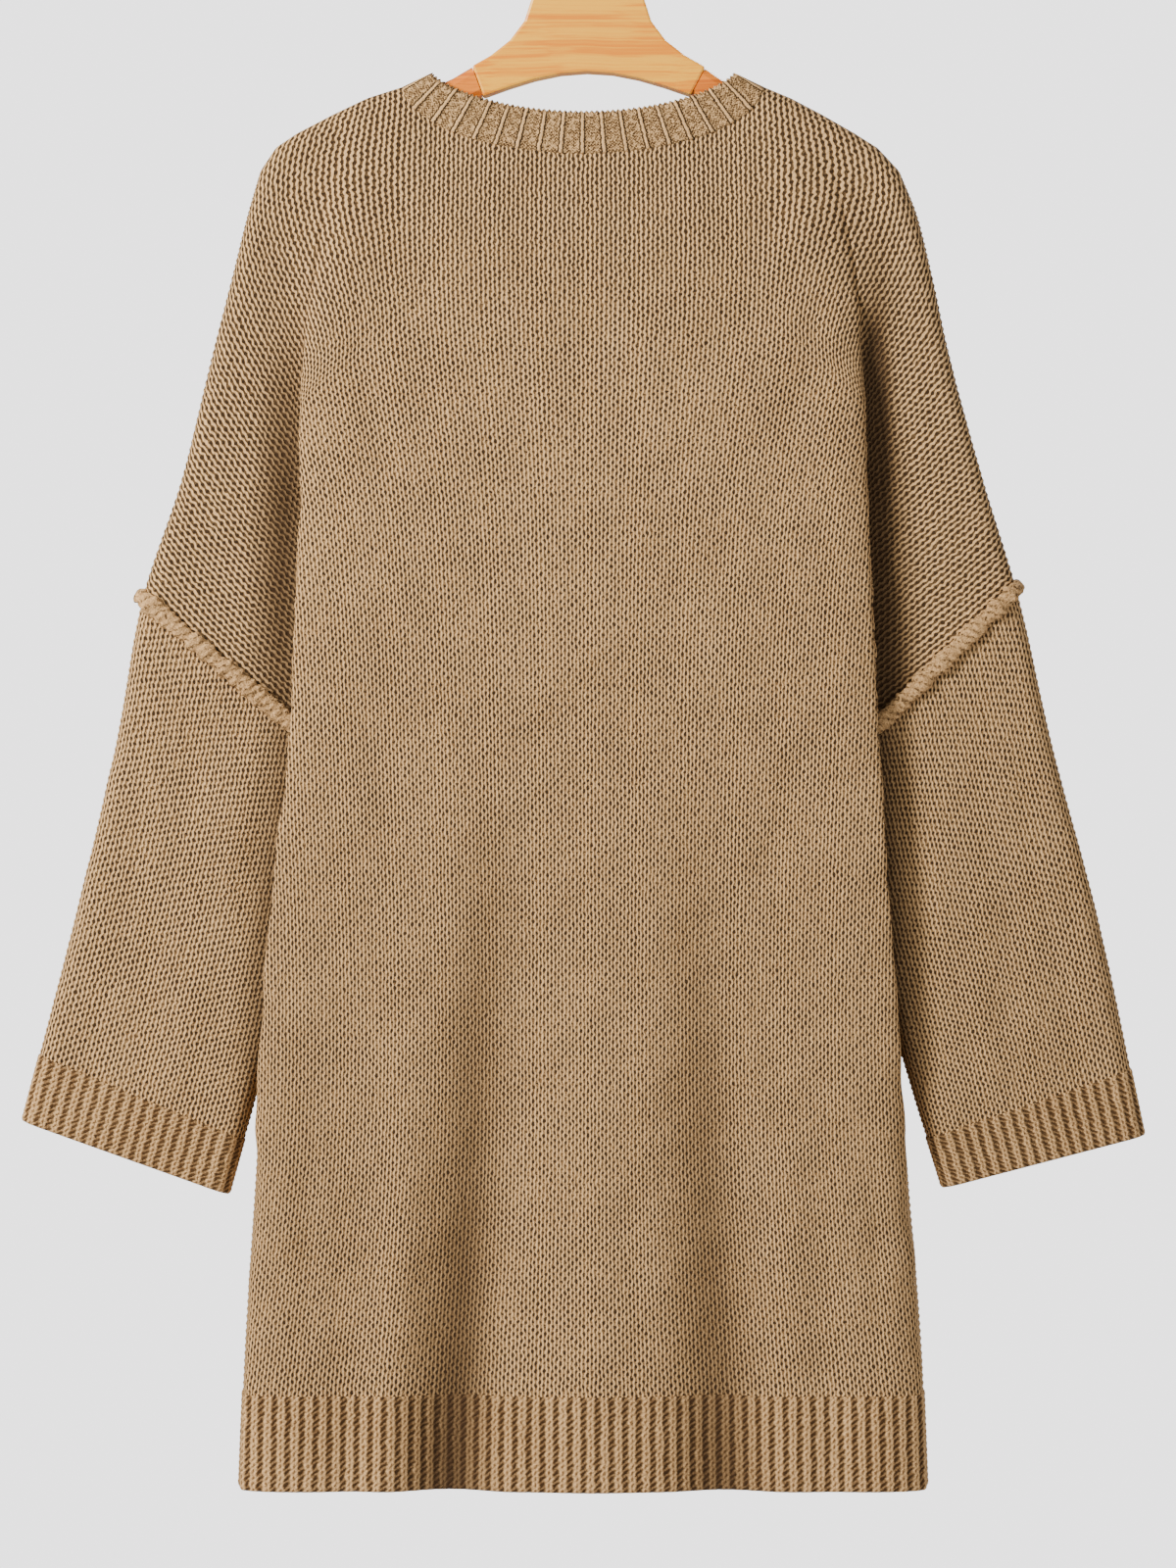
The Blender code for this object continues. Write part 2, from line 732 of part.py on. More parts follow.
def make_roll(name, side, material):
    """A flattened cord of cloth over the drop seam, open at the underarm."""
    profile = [(-1.0, 0.15), (-0.85, 0.65), (-0.3, 1.0), (0.3, 1.0), (0.85, 0.65), (1.0, 0.15)]
    stations = 15
    axis = seam_axis(side)
    length = seam_length(side)
    centres = []
    for k in range(-stations, stations + 1):
        across = ROLL_REACH * (abs(k) / stations) ** 1.6
        spot = seam_point(side, across)
        face = -1.0 if k < 0 else 1.0
        centres.append(Vector((spot[0], face * tube_depth(across, length), spot[1])))
    rows = []
    for k, spot in enumerate(centres):
        run = centres[min(k + 1, len(centres) - 1)] - centres[max(k - 1, 0)]
        out = run.cross(axis).normalized()
        if (out[0] * side + out[1] * spot[1]) < 0.0:
            out = -out
        reach = abs(k - stations) / stations
        size = mix(1.0, 0.4, ease((reach - 0.8) / 0.2))
        lift = ROLL_LIFT + ROLL_EDGE_LIFT * clamp(1.0 - reach * 4.0)
        base = spot + out * lift + axis * 0.5 * RIM_GAP
        rows.append([base + axis * (w * ROLL_HALF_WIDTH * size) + out * (h * ROLL_RISE * size)
                     for w, h in profile])
    bm = bmesh.new()
    grid = [[bm.verts.new(place(p)) for p in row] for row in rows]
    skin(bm, grid, True)
    bm.faces.new(grid[0])
    bm.faces.new(list(reversed(grid[-1])))
    finish_object(name, bm, material, 60.0)


# ---------------------------------------------------------------- hanger

def shoulder_drop(side, x):
    """Drop of the shoulder line at x."""
    rows = [(row[column_of(side)], row[0]) for row in SHOULDER]
    for (x0, d0), (x1, d1) in zip(rows, rows[1:]):
        if min(x0, x1) <= x <= max(x0, x1):
            return mix(d0, d1, (x - x0) / (x1 - x0))
    return rows[0][1]


JOINT_TOP = {-1: (-72.0, 138.0), 1: (73.0, 138.5)}
JOINT_LOW = {-1: (-65.0, 157.0), 1: (64.0, 156.0)}
FLANK = [(35.0, 96.0), (39.5, 110.0), (48.5, 122.0), (60.5, 131.5)]


def yoke_outline():
    """Outline of the hanger's middle piece as (x, drop), clockwise from the left joint."""
    head = []
    for k in range(13):
        angle = math.pi * k / 12.0
        head.append((-HEAD_HALF_WIDTH * math.cos(angle),
                     HEAD_TOP + 18.0 - 18.0 * math.sin(angle) ** 0.8))
    left = [(-x, drop) for x, drop in reversed(FLANK)]
    arch = []
    for k in range(9):
        share = k / 8.0
        x = mix(JOINT_LOW[1][0], JOINT_LOW[-1][0], share)
        drop = mix(JOINT_LOW[1][1], JOINT_LOW[-1][1], share)
        arch.append((x, drop - ARCH_RISE * math.sin(math.pi * share)))
    return [JOINT_TOP[-1]] + left + head + FLANK + [JOINT_TOP[1]] + arch


def make_yoke(material):
    bm = bmesh.new()
    half = HANGER_HALF_THICK
    front = [bm.verts.new(place((x, -half, drop))) for x, drop in yoke_outline()]
    face = bm.faces.new(front)
    grown = bmesh.ops.extrude_face_region(bm, geom=[face])
    moved = [v for v in grown["geom"] if isinstance(v, bmesh.types.BMVert)]
    bmesh.ops.translate(bm, verts=moved, vec=Vector((0.0, 2.0 * half * METRES, 0.0)))
    item = finish_object("hanger_yoke", bm, material)
    bevel = item.modifiers.new("edges", "BEVEL")
    bevel.width = 1.5 * METRES
    bevel.segments = 2
    bevel.limit_method = "ANGLE"
    bevel.angle_limit = math.radians(60.0)


def arm_line(side, share):
    """Top and bottom of the arm at a share of its length, as (x, drop) points."""
    tip_x = SHOULDER[-1][column_of(side)] - side * 10.0
    joint_top = Vector(JOINT_TOP[side])
    joint_low = Vector(JOINT_LOW[side])
    x = mix(joint_top[0], tip_x, share)
    inner_x = SHOULDER[1][column_of(side)]
    tip_drop = shoulder_drop(side, tip_x) + ARM_SEAT
    if (x - inner_x) * side < 0.0:
        reach = (x - joint_top[0]) / (inner_x - joint_top[0])
        neck_drop = shoulder_drop(side, inner_x) + ARM_BURIED
        drop = mix(joint_top[1], neck_drop, reach ** 0.85)
    else:
        reach = (x - inner_x) / (tip_x - inner_x)
        drop = shoulder_drop(side, x) + mix(ARM_BURIED, ARM_SEAT, reach ** 0.7)
        drop = min(drop, tip_drop)
    height = mix((joint_low - joint_top).length, 17.0, share)
    low_x = mix(joint_low[0] - joint_top[0], -side * 1.0, min(1.0, share * 4.0))
    low = Vector((x + low_x, drop + height))
    if share == 0.0:
        low = joint_low
    return Vector((x, drop)), low


def make_arm(name, side, material):
    """A rounded bar from the yoke's joint to the shoulder tip."""
    stations = 10
    corners = 3
    rows = []
    for k in range(stations + 1):
        share = k / stations
        top, low = arm_line(side, share)
        if k == 0:
            top[0] += side * GAP
            low[0] += side * GAP
        rows.append(arm_section(top, low, corners))
    bm = bmesh.new()
    grid = [[bm.verts.new(place(p)) for p in row] for row in rows]
    skin(bm, grid, True)
    bm.faces.new(grid[0])
    bm.faces.new(list(reversed(grid[-1])))
    finish_object(name, bm, material)


def arm_section(top, low, corners):
    """Section of an arm: a slot shape with round top and bottom."""
    half = HANGER_HALF_THICK - 0.3
    down = (low - top).normalized()
    points = []
    for end, middle in ((top, top + down * half * 0.8), (low, low - down * half * 0.8)):
        sign = 1.0 if end is top else -1.0
        for k in range(corners + 2):
            angle = math.pi * k / (corners + 1)
            y = -half * math.cos(angle) * sign
            spot = middle - down * (half * 0.8 * math.sin(angle)) * sign
            points.append(Vector((spot[0], y, spot[1])))
    return points


def make_hook(material):
    """A bent wire: shank, side bend, round hook and turned-out tip."""
    radius = HOOK_RADIUS + WIRE_RADIUS
    points = [(0.0, HEAD_TOP - GAP), (0.0, HEAD_TOP - 9.0), (1.0, HEAD_TOP - 16.0),
              (7.0, HEAD_TOP - 24.0)]
    for k in range(15):
        angle = math.radians(mix(-38.0, 196.0, k / 14.0))
        points.append((radius * math.cos(angle), HOOK_RADIUS - radius * math.sin(angle)))
    points.append((-radius - 2.5, HOOK_RADIUS + 10.0))
    curve = bpy.data.curves.new("hanger_hook", "CURVE")
    curve.dimensions = "3D"
    curve.bevel_depth = WIRE_RADIUS * METRES
    curve.bevel_resolution = 2
    curve.use_fill_caps = True
    spline = curve.splines.new("POLY")
    spline.points.add(len(points) - 1)
    for target, (x, drop) in zip(spline.points, points):
        target.co = (*place((x, 0.0, drop)), 1.0)
    curve.materials.append(material)
    item = bpy.data.objects.new("hanger_hook", curve)
    COLLECTION.objects.link(item)


# ---------------------------------------------------------------- assembly

def start_collection():
    for item in list(bpy.data.objects):
        bpy.data.objects.remove(item)
    collection = bpy.data.collections.new("sweater_dress")
    bpy.context.scene.collection.children.link(collection)
    return collection


def build():
    knit = make_material("knit", COLOURS["knit"], 0.9)
    yoke_wood = make_material("yoke_wood", COLOURS["yoke_wood"], 0.45)
    arm_wood = make_material("arm_wood", COLOURS["arm_wood"], 0.45)
    metal = make_material("metal", COLOURS["metal"], 0.3, 1.0)
    back = make_panel("back_panel", -1.0, BACK_NECK_DEPTH, BACK_FOLDS, knit)
    front = make_panel("front_panel", 1.0, FRONT_NECK_DEPTH, FRONT_FOLDS, knit)
    make_neckband((back, front), knit)
    make_hem(knit)
    for word, side in (("left", -1), ("right", 1)):
        make_sleeve("sleeve_" + word, side, knit)
        make_cuff("cuff_" + word, side, knit)
        make_roll("drop_seam_" + word, side, knit)
        make_arm("hanger_arm_" + word, side, arm_wood)
    make_yoke(yoke_wood)
    make_hook(metal)


COLLECTION = start_collection()
build()
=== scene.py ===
"""Looks of a long drop-shoulder sweater dress that hangs on a wooden hanger.

Lengths are in millimetres, and the meshes are scaled to metres as they are made. X runs
across the dress, Z is up and the shown side faces -Y. The origin is the top of the inside
of the hanger's hook, and a "drop" is a distance below it. A grid of the cloth is an array
of rows from the top down, each of (x, y, drop) points from left to right. The cloth's
texture follows a "stitch" map: u counts wales across and v counts courses down. Its
"state" map has two shares from 0 to 1: how deep a point lies in a hollow of the cloth,
which the materials paint into the colour as shade, and how far the stitches there are
drawn out into lines. A piece without one has neither.
"""

import math

import bpy
import numpy as np
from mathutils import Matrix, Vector


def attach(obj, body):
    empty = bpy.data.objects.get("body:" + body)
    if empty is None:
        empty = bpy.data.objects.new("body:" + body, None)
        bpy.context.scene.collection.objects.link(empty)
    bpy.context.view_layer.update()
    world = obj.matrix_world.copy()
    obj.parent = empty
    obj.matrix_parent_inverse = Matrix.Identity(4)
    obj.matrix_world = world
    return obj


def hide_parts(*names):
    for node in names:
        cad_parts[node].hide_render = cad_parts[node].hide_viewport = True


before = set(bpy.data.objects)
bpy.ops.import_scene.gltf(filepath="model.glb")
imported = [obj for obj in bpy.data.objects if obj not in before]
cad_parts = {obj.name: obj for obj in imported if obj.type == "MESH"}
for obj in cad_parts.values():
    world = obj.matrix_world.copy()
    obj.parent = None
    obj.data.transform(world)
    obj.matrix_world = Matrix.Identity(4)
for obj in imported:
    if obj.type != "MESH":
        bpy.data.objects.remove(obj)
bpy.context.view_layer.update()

METRES = 0.001
TURN = 2.0 * math.pi

# Cloth, as in the solids
WALL = 3.0
CAP_DEPTH = 11.0         # outer face of sleeves and sleeve caps, from the middle plane
EDGE_ROUND = 11.0        # how far in from an edge the cloth takes to reach that depth
SOFT_STEP = 12.0         # how far it takes to pass softly from one depth to another
TUBE_FLATNESS = 0.95     # below 1 a sleeve is rounder at its edges than the caps are
SHOULDER_FALL = 267.0    # drop where the yoke ends and the side folds begin
GROOVE_END = 800.0
HEM_TOP = 961.0
HEM_BOTTOM = 1019.0

# The garment's outer edge: shoulder tip, sleeve cap, sleeve. drop, left x, right x
EDGE = [
    (203, -204, 194),
    (231, -212, 205),
    (267, -221, 214),
    (322, -235, 226),
    (395, -253, 246),
    (468, -277, 268),
    (560, -294, 289),
    (670, -320, 318),
    (801, -354, 346),
]
# The shoulder line, from the neck out to the tip. drop, left x, right x
SHOULDER = [
    (150, -115, 109),
    (157, -137, 126),
    (167, -158, 145),
    (179, -181, 166),
    (188, -194, 180),
    (203, -204, 194),
]
# Folded edge of the body beside each sleeve, how far the cloth tucks in behind it,
# the softness of the fold and the body's depth. drop, left x, right x, tuck, soft, depth
FOLD = [
    (267, -171, 167, 0, 30, 21),
    (340, -178, 171, 6, 24, 27),
    (401, -178, 173, 14, 18, 30),
    (470, -181, 176, 25, 15, 31),
    (574, -186, 181, 41, 14, 31),
    (640, -194, 185, 38, 14, 31),
    (706, -200, 190, 24, 14, 31),
    (767, -204, 194, 7, 16, 31),
    (816, -206, 198, 0, 22, 31),
    (926, -213, 207, 0, 32, 31),
    (1019, -217, 211, 0, 36, 30),
]
# Corners of each sleeve by side, as (x, drop); the outer ones lie on the outer edge
SEAM_DROP = {-1: 468.0, 1: 462.0}
UNDERARM = {-1: (-157.0, 569.0), 1: (149.0, 578.0)}
CUFF_INNER = {-1: (-223.0, 838.0), 1: (220.0, 834.0)}
CUFF_DROP = {-1: 792.0, 1: 801.0}
INNER_BOW = 3.0
CUFF_LENGTH = 41.0

# Soft vertical folds of the lower body. start drop, x there, x at the hem, half width, depth
BACK_FOLDS = [
    (600, -60, -85, 43, 13),
    (620, 60, 84, 42, 10.5),
    (560, -2, 4, 46, -4),
    (640, -140, -152, 30, 4),
    (700, 150, 158, 26, 4),
]
FRONT_FOLDS = [
    (580, -24, -34, 40, 13),
    (640, 98, 112, 34, 12),
    (600, 38, 40, 36, -4),
    (660, -118, -136, 32, 8),
]
# Smaller creases, as soft troughs (or ridges, below zero).
# start x, start drop, end x, end drop, half width, depth
BACK_CREASES = [
    (-128, 196, -96, 330, 17, 1.6),
    (-150, 262, -120, 420, 15, 1.8),
    (118, 200, 92, 322, 16, 1.4),
    (146, 270, 118, 400, 14, 2),
    (-40, 250, -52, 430, 22, 1),
    (34, 240, 46, 400, 24, -1),
    (-150, 520, -100, 640, 16, 1.8),
    (142, 540, 104, 655, 15, 2),
    (-20, 470, -8, 640, 26, 1.2),
    (-170, 760, -176, 955, 12, 2.2),
    (-110, 780, -118, 960, 16, -2),
    (30, 800, 36, 960, 18, 2),
    (120, 790, 126, 960, 15, -2.4),
    (176, 800, 180, 955, 11, 2),
]
FRONT_CREASES = [
    (-124, 198, -90, 340, 18, 1.8),
    (-152, 280, -124, 430, 14, 1.6),
    (120, 204, 96, 330, 15, 1.6),
    (150, 276, 116, 412, 15, 1.8),
    (10, 300, 20, 470, 24, 1.2),
    (-146, 530, -96, 650, 17, 1.8),
    (140, 536, 98, 660, 14, 2),
    (-70, 700, -80, 950, 15, -2.2),
    (64, 760, 70, 960, 16, 2.2),
    (168, 780, 176, 955, 12, 2.2),
    (-176, 790, -180, 955, 12, 2),
]

# Creases of the sleeves, on both faces. Shares of a sleeve: across it from its outer edge,
# drift of that down its length, start, end and half width; then the depth
SLEEVE_CREASES = [
    (0.72, 0.06, 0.02, 0.55, 0.09, 1.8),
    (0.40, -0.05, 0.12, 0.70, 0.11, 1.4),
    (0.55, 0.10, 0.50, 0.95, 0.10, -1.5),
    (0.22, 0.02, 0.35, 0.92, 0.08, 1.2),
]
CREASE_FADE = 0.15       # share of the sleeve's length over which a crease begins and ends
THIN_EDGE = 0.15         # share of the creases and lumps that is left at a sleeve's edges
# Broad soft shade on the shown side where the cloth turns from the light.
# start x, start drop, end x, end drop, half width, strength
BACK_SHADES = [
    (-194, 240, -196, 520, 18, 0.42),
    (179, 235, 181, 420, 13, 0.95),
    (-180, 600, -186, 1060, 62, 0.21),
    (180, 600, 186, 1060, 58, 0.15),
    (-128, 460, -142, 720, 28, 0.07),
]

# Neck, as in the solids
NECK_CENTRE = -3.0
NECK_DROP = 150.0
BACK_NECK_DEPTH = 43.0
FRONT_NECK_DEPTH = 84.0
BAND_HALF_WIDTH = 94.0
BAND_TOP_DROP = 142.0
BAND_HEIGHT = 26.0
BAND_THICK = 4.0

# Ribs
BAND_RIBS = 42
HEM_RIBS = 112
CUFF_RIBS = 38
RIB_RISE = 1.1
RIB_BUMP = 0.32          # height of the courses on a rib
CORD_RISE = 1.2          # rise of the neckband's cords
PURL_BUMP = 0.25         # and of the crosswise stitches between them
BAND_SCALLOP = 0.75      # unevenness of the neckband's rolled top

# Stitches. A wale is one column of stitches and a course is one row of them.
# Their widths on the body at each drop: drop, wale, course
BODY_GAUGE = [
    (150, 5.7, 4.2),
    (290, 5.7, 4.2),
    (420, 4.9, 4.6),
    (560, 4.6, 4.7),
    (800, 4.5, 4.6),
    (980, 5, 4.6),
]
# The sleeve caps' wales lean in more from the shoulder tip to the drop seam.
# drop, left lean, right lean in degrees, wale
CAP_GAUGE = [
    (160, 4, 5, 5.2),
    (231, 21, 25, 5.3),
    (316, 32, 42, 6),
    (404, 39, 47, 6.4),
    (570, 45, 52, 6.6),
]
GAUGE_STEP = 2.0
GAUGE_DROPS = np.arange(100.0, 1101.0, GAUGE_STEP)   # where the two tables are read
CAP_PIVOT = (160.0, 282.0)   # x and drop where the maps of cap and body agree
CAP_MAP_X = 200.0        # over the shoulder the cap's map holds out from this x
BODY_MAP_X = 88.0        # and the body's map holds in from this one
HIDDEN_START = 285.0     # drop where the change between them moves into the gully
HIDDEN_FALL = 75.0       # how much lower it lies there altogether
HIDDEN_WIDTH = 6.0       # its least width there
HIDDEN_SEARCH = 8.0      # how far past the folded edge its far end is looked for
SLEEVE_WALE = 5.7
SLEEVE_COURSE = 4.6
EDGE_BUMP = 0.9          # height of the bumps that the courses make on the outer edges
LUMP = 0.5               # height of the knit's slow unevenness
LUMP_WAVES = 14          # crossing waves that make it up
LUMP_LENGTHS = (24.0, 70.0)   # shortest and longest of them
SLOPE_END = 190.0        # drop where the sloping shoulders turn down into the outer edges
SLOPE_FALL = 50.0        # how far below it the stitch map has turned with them
BUMP_FALL = 40.0         # and how far below it the edge's bumps are at their full height
HEM_FADE = 20.0          # how far above the hem band creases and lumps begin to fade

# Fineness of the grids
ROW_STEP = 2.3
SIDE_COLUMNS = 42        # of a panel, from each outer edge to the folded edge
BODY_COLUMNS = 140       # and between the folded edges
YOKE_ROWS = 44
LAP_STEPS = 40           # of the folded edge's curve, to each side of its middle
HEM_SIDE_COLUMNS = 60
HEM_BODY_COLUMNS = 160
SLEEVE_POINTS = 48       # across a sleeve, before its ring is evened out
CUFF_POINTS = 90
WALE_COLUMNS = 4         # of a sleeve, to a wale
RIB_COLUMNS = 8          # of the cuffs and the hem, to a rib
CUFF_ROWS = 22
HEM_ROWS = 30
CORD_COLUMNS = 14        # of the neckband, to a cord
BAND_ROWS = 16
ROLL_STATIONS = 150      # to each side of a roll's middle
ROLL_POINTS = 14

# Shade in the hollows, as shares from 0 to 1
GULLY_SLOPE = 0.45       # a gully is shaded where the cloth beside it rises more than this
GULLY_HEIGHT = 11.0      # and fully where it rises this much higher
GULLY_SHADE = {-1: 0.75, 1: 1.0}   # how dark each side's gully is
TROUGH_START = 590.0     # drop where the shade in the body's main folds begins
TROUGH_HALF_WIDTH = 33.0
TROUGH_SHADE = 0.076     # how dark the folds are at the hem, to a millimetre of their depth
MAIN_FOLD = 10.0         # least depth of a fold that is shaded
SLEEVE_GULLY_SHADE = 0.75
SLEEVE_GULLY_WIDTH = 24.0
SLEEVE_SHADE = {-1: 0.0, 1: 0.09}  # how dark each whole sleeve is
# How far the stitches are drawn out into lines: everywhere on the body and on the sleeves,
# and how much more down the sleeve caps and under the neckband
BODY_DRAWN = 0.2
SLEEVE_DRAWN = 0.4
CAP_DRAWN = 0.9
CAP_DRAWN_START = 200.0
CAP_DRAWN_FALL = 120.0
NECK_DRAWN = 0.8
NECK_DRAWN_FALL = 170.0

# The rolled seams
ROLL_HALF_WIDTH = 5.1
ROLL_RISE = 4.2
ROLL_EDGE_HALF_WIDTH = 4.2   # round the sleeve's outer edge
ROLL_EDGE_RISE = 4.6
ROLL_LIFT = 0.4
ROLL_REACH = 0.97        # share of the drop seam that the roll covers
ROLL_STITCH = 4.65
ROLL_TURN = 14.0         # how far from the sleeve's outer edge the roll has its own form
ROLL_TAPER_START = 0.85  # share of its half where an end begins to thin out
ROLL_END_SIZE = 0.45
ROLL_KNOBS = 0.15        # unevenness of its size, as shares: slow knobs
ROLL_CHAIN = 0.08        # swelling at each stitch
ROLL_LOBES = 0.14        # and lobes round each stitch

# Colours
# Lit and shaded copies of the yarn's colour: painted highlight on the strands' crests, painted
# shade between them
YARN_LIT = (0.745, 0.457, 0.200, 1.0)
YARN_SHADED = (0.180, 0.087, 0.0305, 1.0)
# Painted shade in the knit's holes and in the gaps between its strands
PAINTED_GAP_SHADE = (0.016, 0.007, 0.003, 1.0)
# Painted shade in the hollows of the cloth, by the state map's first share
PAINTED_HOLLOW_SHADE = (0.040, 0.020, 0.009, 1.0)
BEECH = ((1.0, 0.47, 0.026, 1.0), (0.84, 0.25, 0.005, 1.0))
RED_BEECH = ((0.86, 0.25, 0.018, 1.0), (0.62, 0.14, 0.010, 1.0))
PLATE_LIGHT = (0.62, 0.61, 0.60, 1.0)
PLATE_DARK = (0.40, 0.38, 0.36, 1.0)
PALE = (0.74, 0.73, 0.74, 1.0)
GRAIN = (2.0, 20.0, 80.0)    # fineness of the wood's grain along X, Y and Z

# Studio, in metres
VIEW_CENTRE = (0.0, -0.584)  # x and z that the photo's centre looks at
VIEW_HEIGHT = 0.976          # height of the frame at the garment
VIEW_DISTANCE = 2.6
FLOOR_LEVEL = -1.6
FLOOR_RADIUS = 2.4
FLOOR_SIDES = 64
BACKDROP_STRENGTH = 3.6      # of the backdrop as the camera sees it
GLOW_STRENGTH = 0.55         # and as it lights the dress
LIGHT_AIM = (0.0, 0.0, -0.55)
# name, place, size, power, colour
LIGHTS = [
    ("key", (-1.9, -1.55, 0.55), 0.8, 131.0, (1.0, 0.98, 0.95)),
    ("fill", (1.9, -1.6, -0.2), 1.6, 12.0, (0.97, 0.98, 1.0)),
    ("back", (1.2, 2.2, 0.9), 1.4, 60.0, (1.0, 0.98, 0.96)),
]

HANGER = ("hanger_arm_left", "hanger_arm_right", "hanger_yoke")
PANELS = ("cloth_back", "cloth_front")
# Each cloth piece: its slot, the node that it stands for, the width and length of its flat
# cut in metres, the cut's area where it isn't a rectangle, and what the piece hangs from
PIECES = {
    "cloth_back": ("knit", "back_panel", 0.661, 0.811, 0.392, HANGER),
    "cloth_front": ("knit", "front_panel", 0.661, 0.811, 0.385, HANGER),
    "cloth_sleeve_left": ("knit", "sleeve_left", 0.338, 0.291, 0.080, PANELS),
    "cloth_sleeve_right": ("knit", "sleeve_right", 0.355, 0.307, 0.083, PANELS),
    "cuff_ribs_left": ("rib_knit", "cuff_left", 0.298, 0.041, None, ("cloth_sleeve_left",)),
    "cuff_ribs_right": ("rib_knit", "cuff_right", 0.285, 0.041, None, ("cloth_sleeve_right",)),
    "hem_ribs": ("rib_knit", "hem_band", 0.962, 0.058, None, PANELS),
    "neck_ribs": ("rib_knit", "neckband", 0.596, 0.026, None, PANELS),
    "seam_roll_left": ("knit", "drop_seam_left", 0.310, 0.0135, None,
                       ("cloth_sleeve_left",) + PANELS),
    "seam_roll_right": ("knit", "drop_seam_right", 0.320, 0.0135, None,
                        ("cloth_sleeve_right",) + PANELS),
}


# ---- sums and curves

def mix(a, b, share):
    return a + (b - a) * share


def limited(share):
    return np.clip(share, 0.0, 1.0)


def ease(share):
    """A share from 0 to 1 with a soft start and end, for numbers and arrays."""
    share = limited(share)
    return share * share * (3.0 - 2.0 * share)


def rounded(distance):
    """Depth share of cloth this far in from an edge: a quarter round, then flat."""
    inward = 1.0 - limited(distance / EDGE_ROUND)
    return np.sqrt(1.0 - inward * inward)


def read(table, drop, column):
    """A column of a table at any drop, on a smooth curve through its rows."""
    rows = [(row[0], row[column]) for row in table]
    if drop <= rows[0][0]:
        return rows[0][1]
    if drop >= rows[-1][0]:
        return rows[-1][1]
    k = next(i for i in range(len(rows) - 1) if drop <= rows[i + 1][0])
    span = rows[k + 1][0] - rows[k][0]

    def slope(i):
        low, high = max(i - 1, 0), min(i + 1, len(rows) - 1)
        return (rows[high][1] - rows[low][1]) / (rows[high][0] - rows[low][0])

    t = (drop - rows[k][0]) / span
    start, end = rows[k][1], rows[k + 1][1]
    return ((2 * t**3 - 3 * t**2 + 1) * start + (t**3 - 2 * t**2 + t) * span * slope(k)
            + (3 * t**2 - 2 * t**3) * end + (t**3 - t**2) * span * slope(k + 1))


def unit(vectors):
    """Vectors in the last axis of an array, brought to length 1."""
    return vectors / np.maximum(np.linalg.norm(vectors, axis=-1, keepdims=True), 1e-9)


def passed_along(path):
    """How far along a path each of its points lies."""
    return np.concatenate([[0.0], np.cumsum(np.linalg.norm(np.diff(path, axis=0), axis=1))])


def spread(path, count, closed=False):
    """Points at even distances along a path, as an array of count + 1 (or count) rows."""
    path = np.array(path, float)
    if closed:
        path = np.vstack([path, path[:1]])
    passed = passed_along(path)
    goals = np.linspace(0.0, passed[-1], count + 1)
    points = np.stack([np.interp(goals, passed, path[:, k]) for k in range(path.shape[1])], 1)
    return points[:-1] if closed else points


# ---- the dress's form

def column_of(side):
    return 1 if side < 0 else 2


def edge_x(side, drop):
    return read(EDGE, drop, column_of(side))


def fold_x(side, drop):
    return read(FOLD, drop, column_of(side))


def body_depth(folds, x, drop):
    """Depth of the body from the middle plane at an array of x, with its vertical folds."""
    depth = np.full_like(x, read(FOLD, drop, 5))
    for start, x_start, x_hem, half_width, deep in folds:
        fade = ease((drop - start) / (HEM_BOTTOM - start))
        centre = mix(x_start, x_hem, (drop - start) / (HEM_BOTTOM - start))
        off = np.minimum(np.abs(x - centre) / half_width, 1.0)
        depth -= deep * fade * (0.5 + 0.5 * np.cos(math.pi * off))
    return depth


def on_edge(side, drop):
    return Vector((edge_x(side, drop), drop))


def seam_point(side, share):
    """A point of the drop seam in the (x, drop) plane, outer end to underarm."""
    return on_edge(side, SEAM_DROP[side]).lerp(Vector(UNDERARM[side]), share)


def seam_length(side):
    return (seam_point(side, 1.0) - seam_point(side, 0.0)).length


def seam_axis(side):
    """Direction of the sleeve at the drop seam, square to the seam, as (x, 0, drop)."""
    run = seam_point(side, 1.0) - seam_point(side, 0.0)
    return unit(np.array((side * run[1], 0.0, -side * run[0])))


def tube_depth(across, width):
    """Half depth of a flattened sleeve at a share of its width."""
    flat = TUBE_FLATNESS * width
    return CAP_DEPTH * rounded(across * flat) * rounded((1.0 - across) * flat)


def side_slice(side, drop):
    """Level cut of one side as (x, depth): cap, gully, folded edge, start of the body."""
    tuck, soft = read(FOLD, drop, 3), read(FOLD, drop, 4)
    depth = read(FOLD, drop, 5)
    swing = 0.3 * soft + 0.5 * tuck + 0.15 * soft * min(1.0, tuck / soft)
    steps = [k / LAP_STEPS for k in range(-LAP_STEPS, LAP_STEPS + 1)]
    lap = {t: soft * t - swing * math.sin(math.pi * t) for t in steps}
    turn = max((t for t in steps if -0.6 <= t <= -0.3), key=lambda t: lap[t])
    lowest = min(lap[t] for t in steps if t >= turn)
    centre = fold_x(side, drop) + side * lowest

    def x_at(t):
        return centre - side * lap[t]

    on_body = drop > UNDERARM[side][1] + 0.01
    turn_depth = 0.0 if on_body else CAP_DEPTH + WALL
    quick_share = mix(0.45, 0.15, ease(tuck / SOFT_STEP))
    path = [] if on_body else cap_part(side, drop, steps, turn, x_at)
    for t in steps:
        if t < turn:
            continue
        share = (t - turn) / (1.0 - turn)
        quick = min(share / quick_share, 1.0)
        rise = math.sqrt(1.0 - (1.0 - quick) ** 2)
        y = turn_depth + (0.5 * depth - turn_depth) * rise + 0.5 * depth * ease(share)
        path.append((x_at(t), y))
    return path


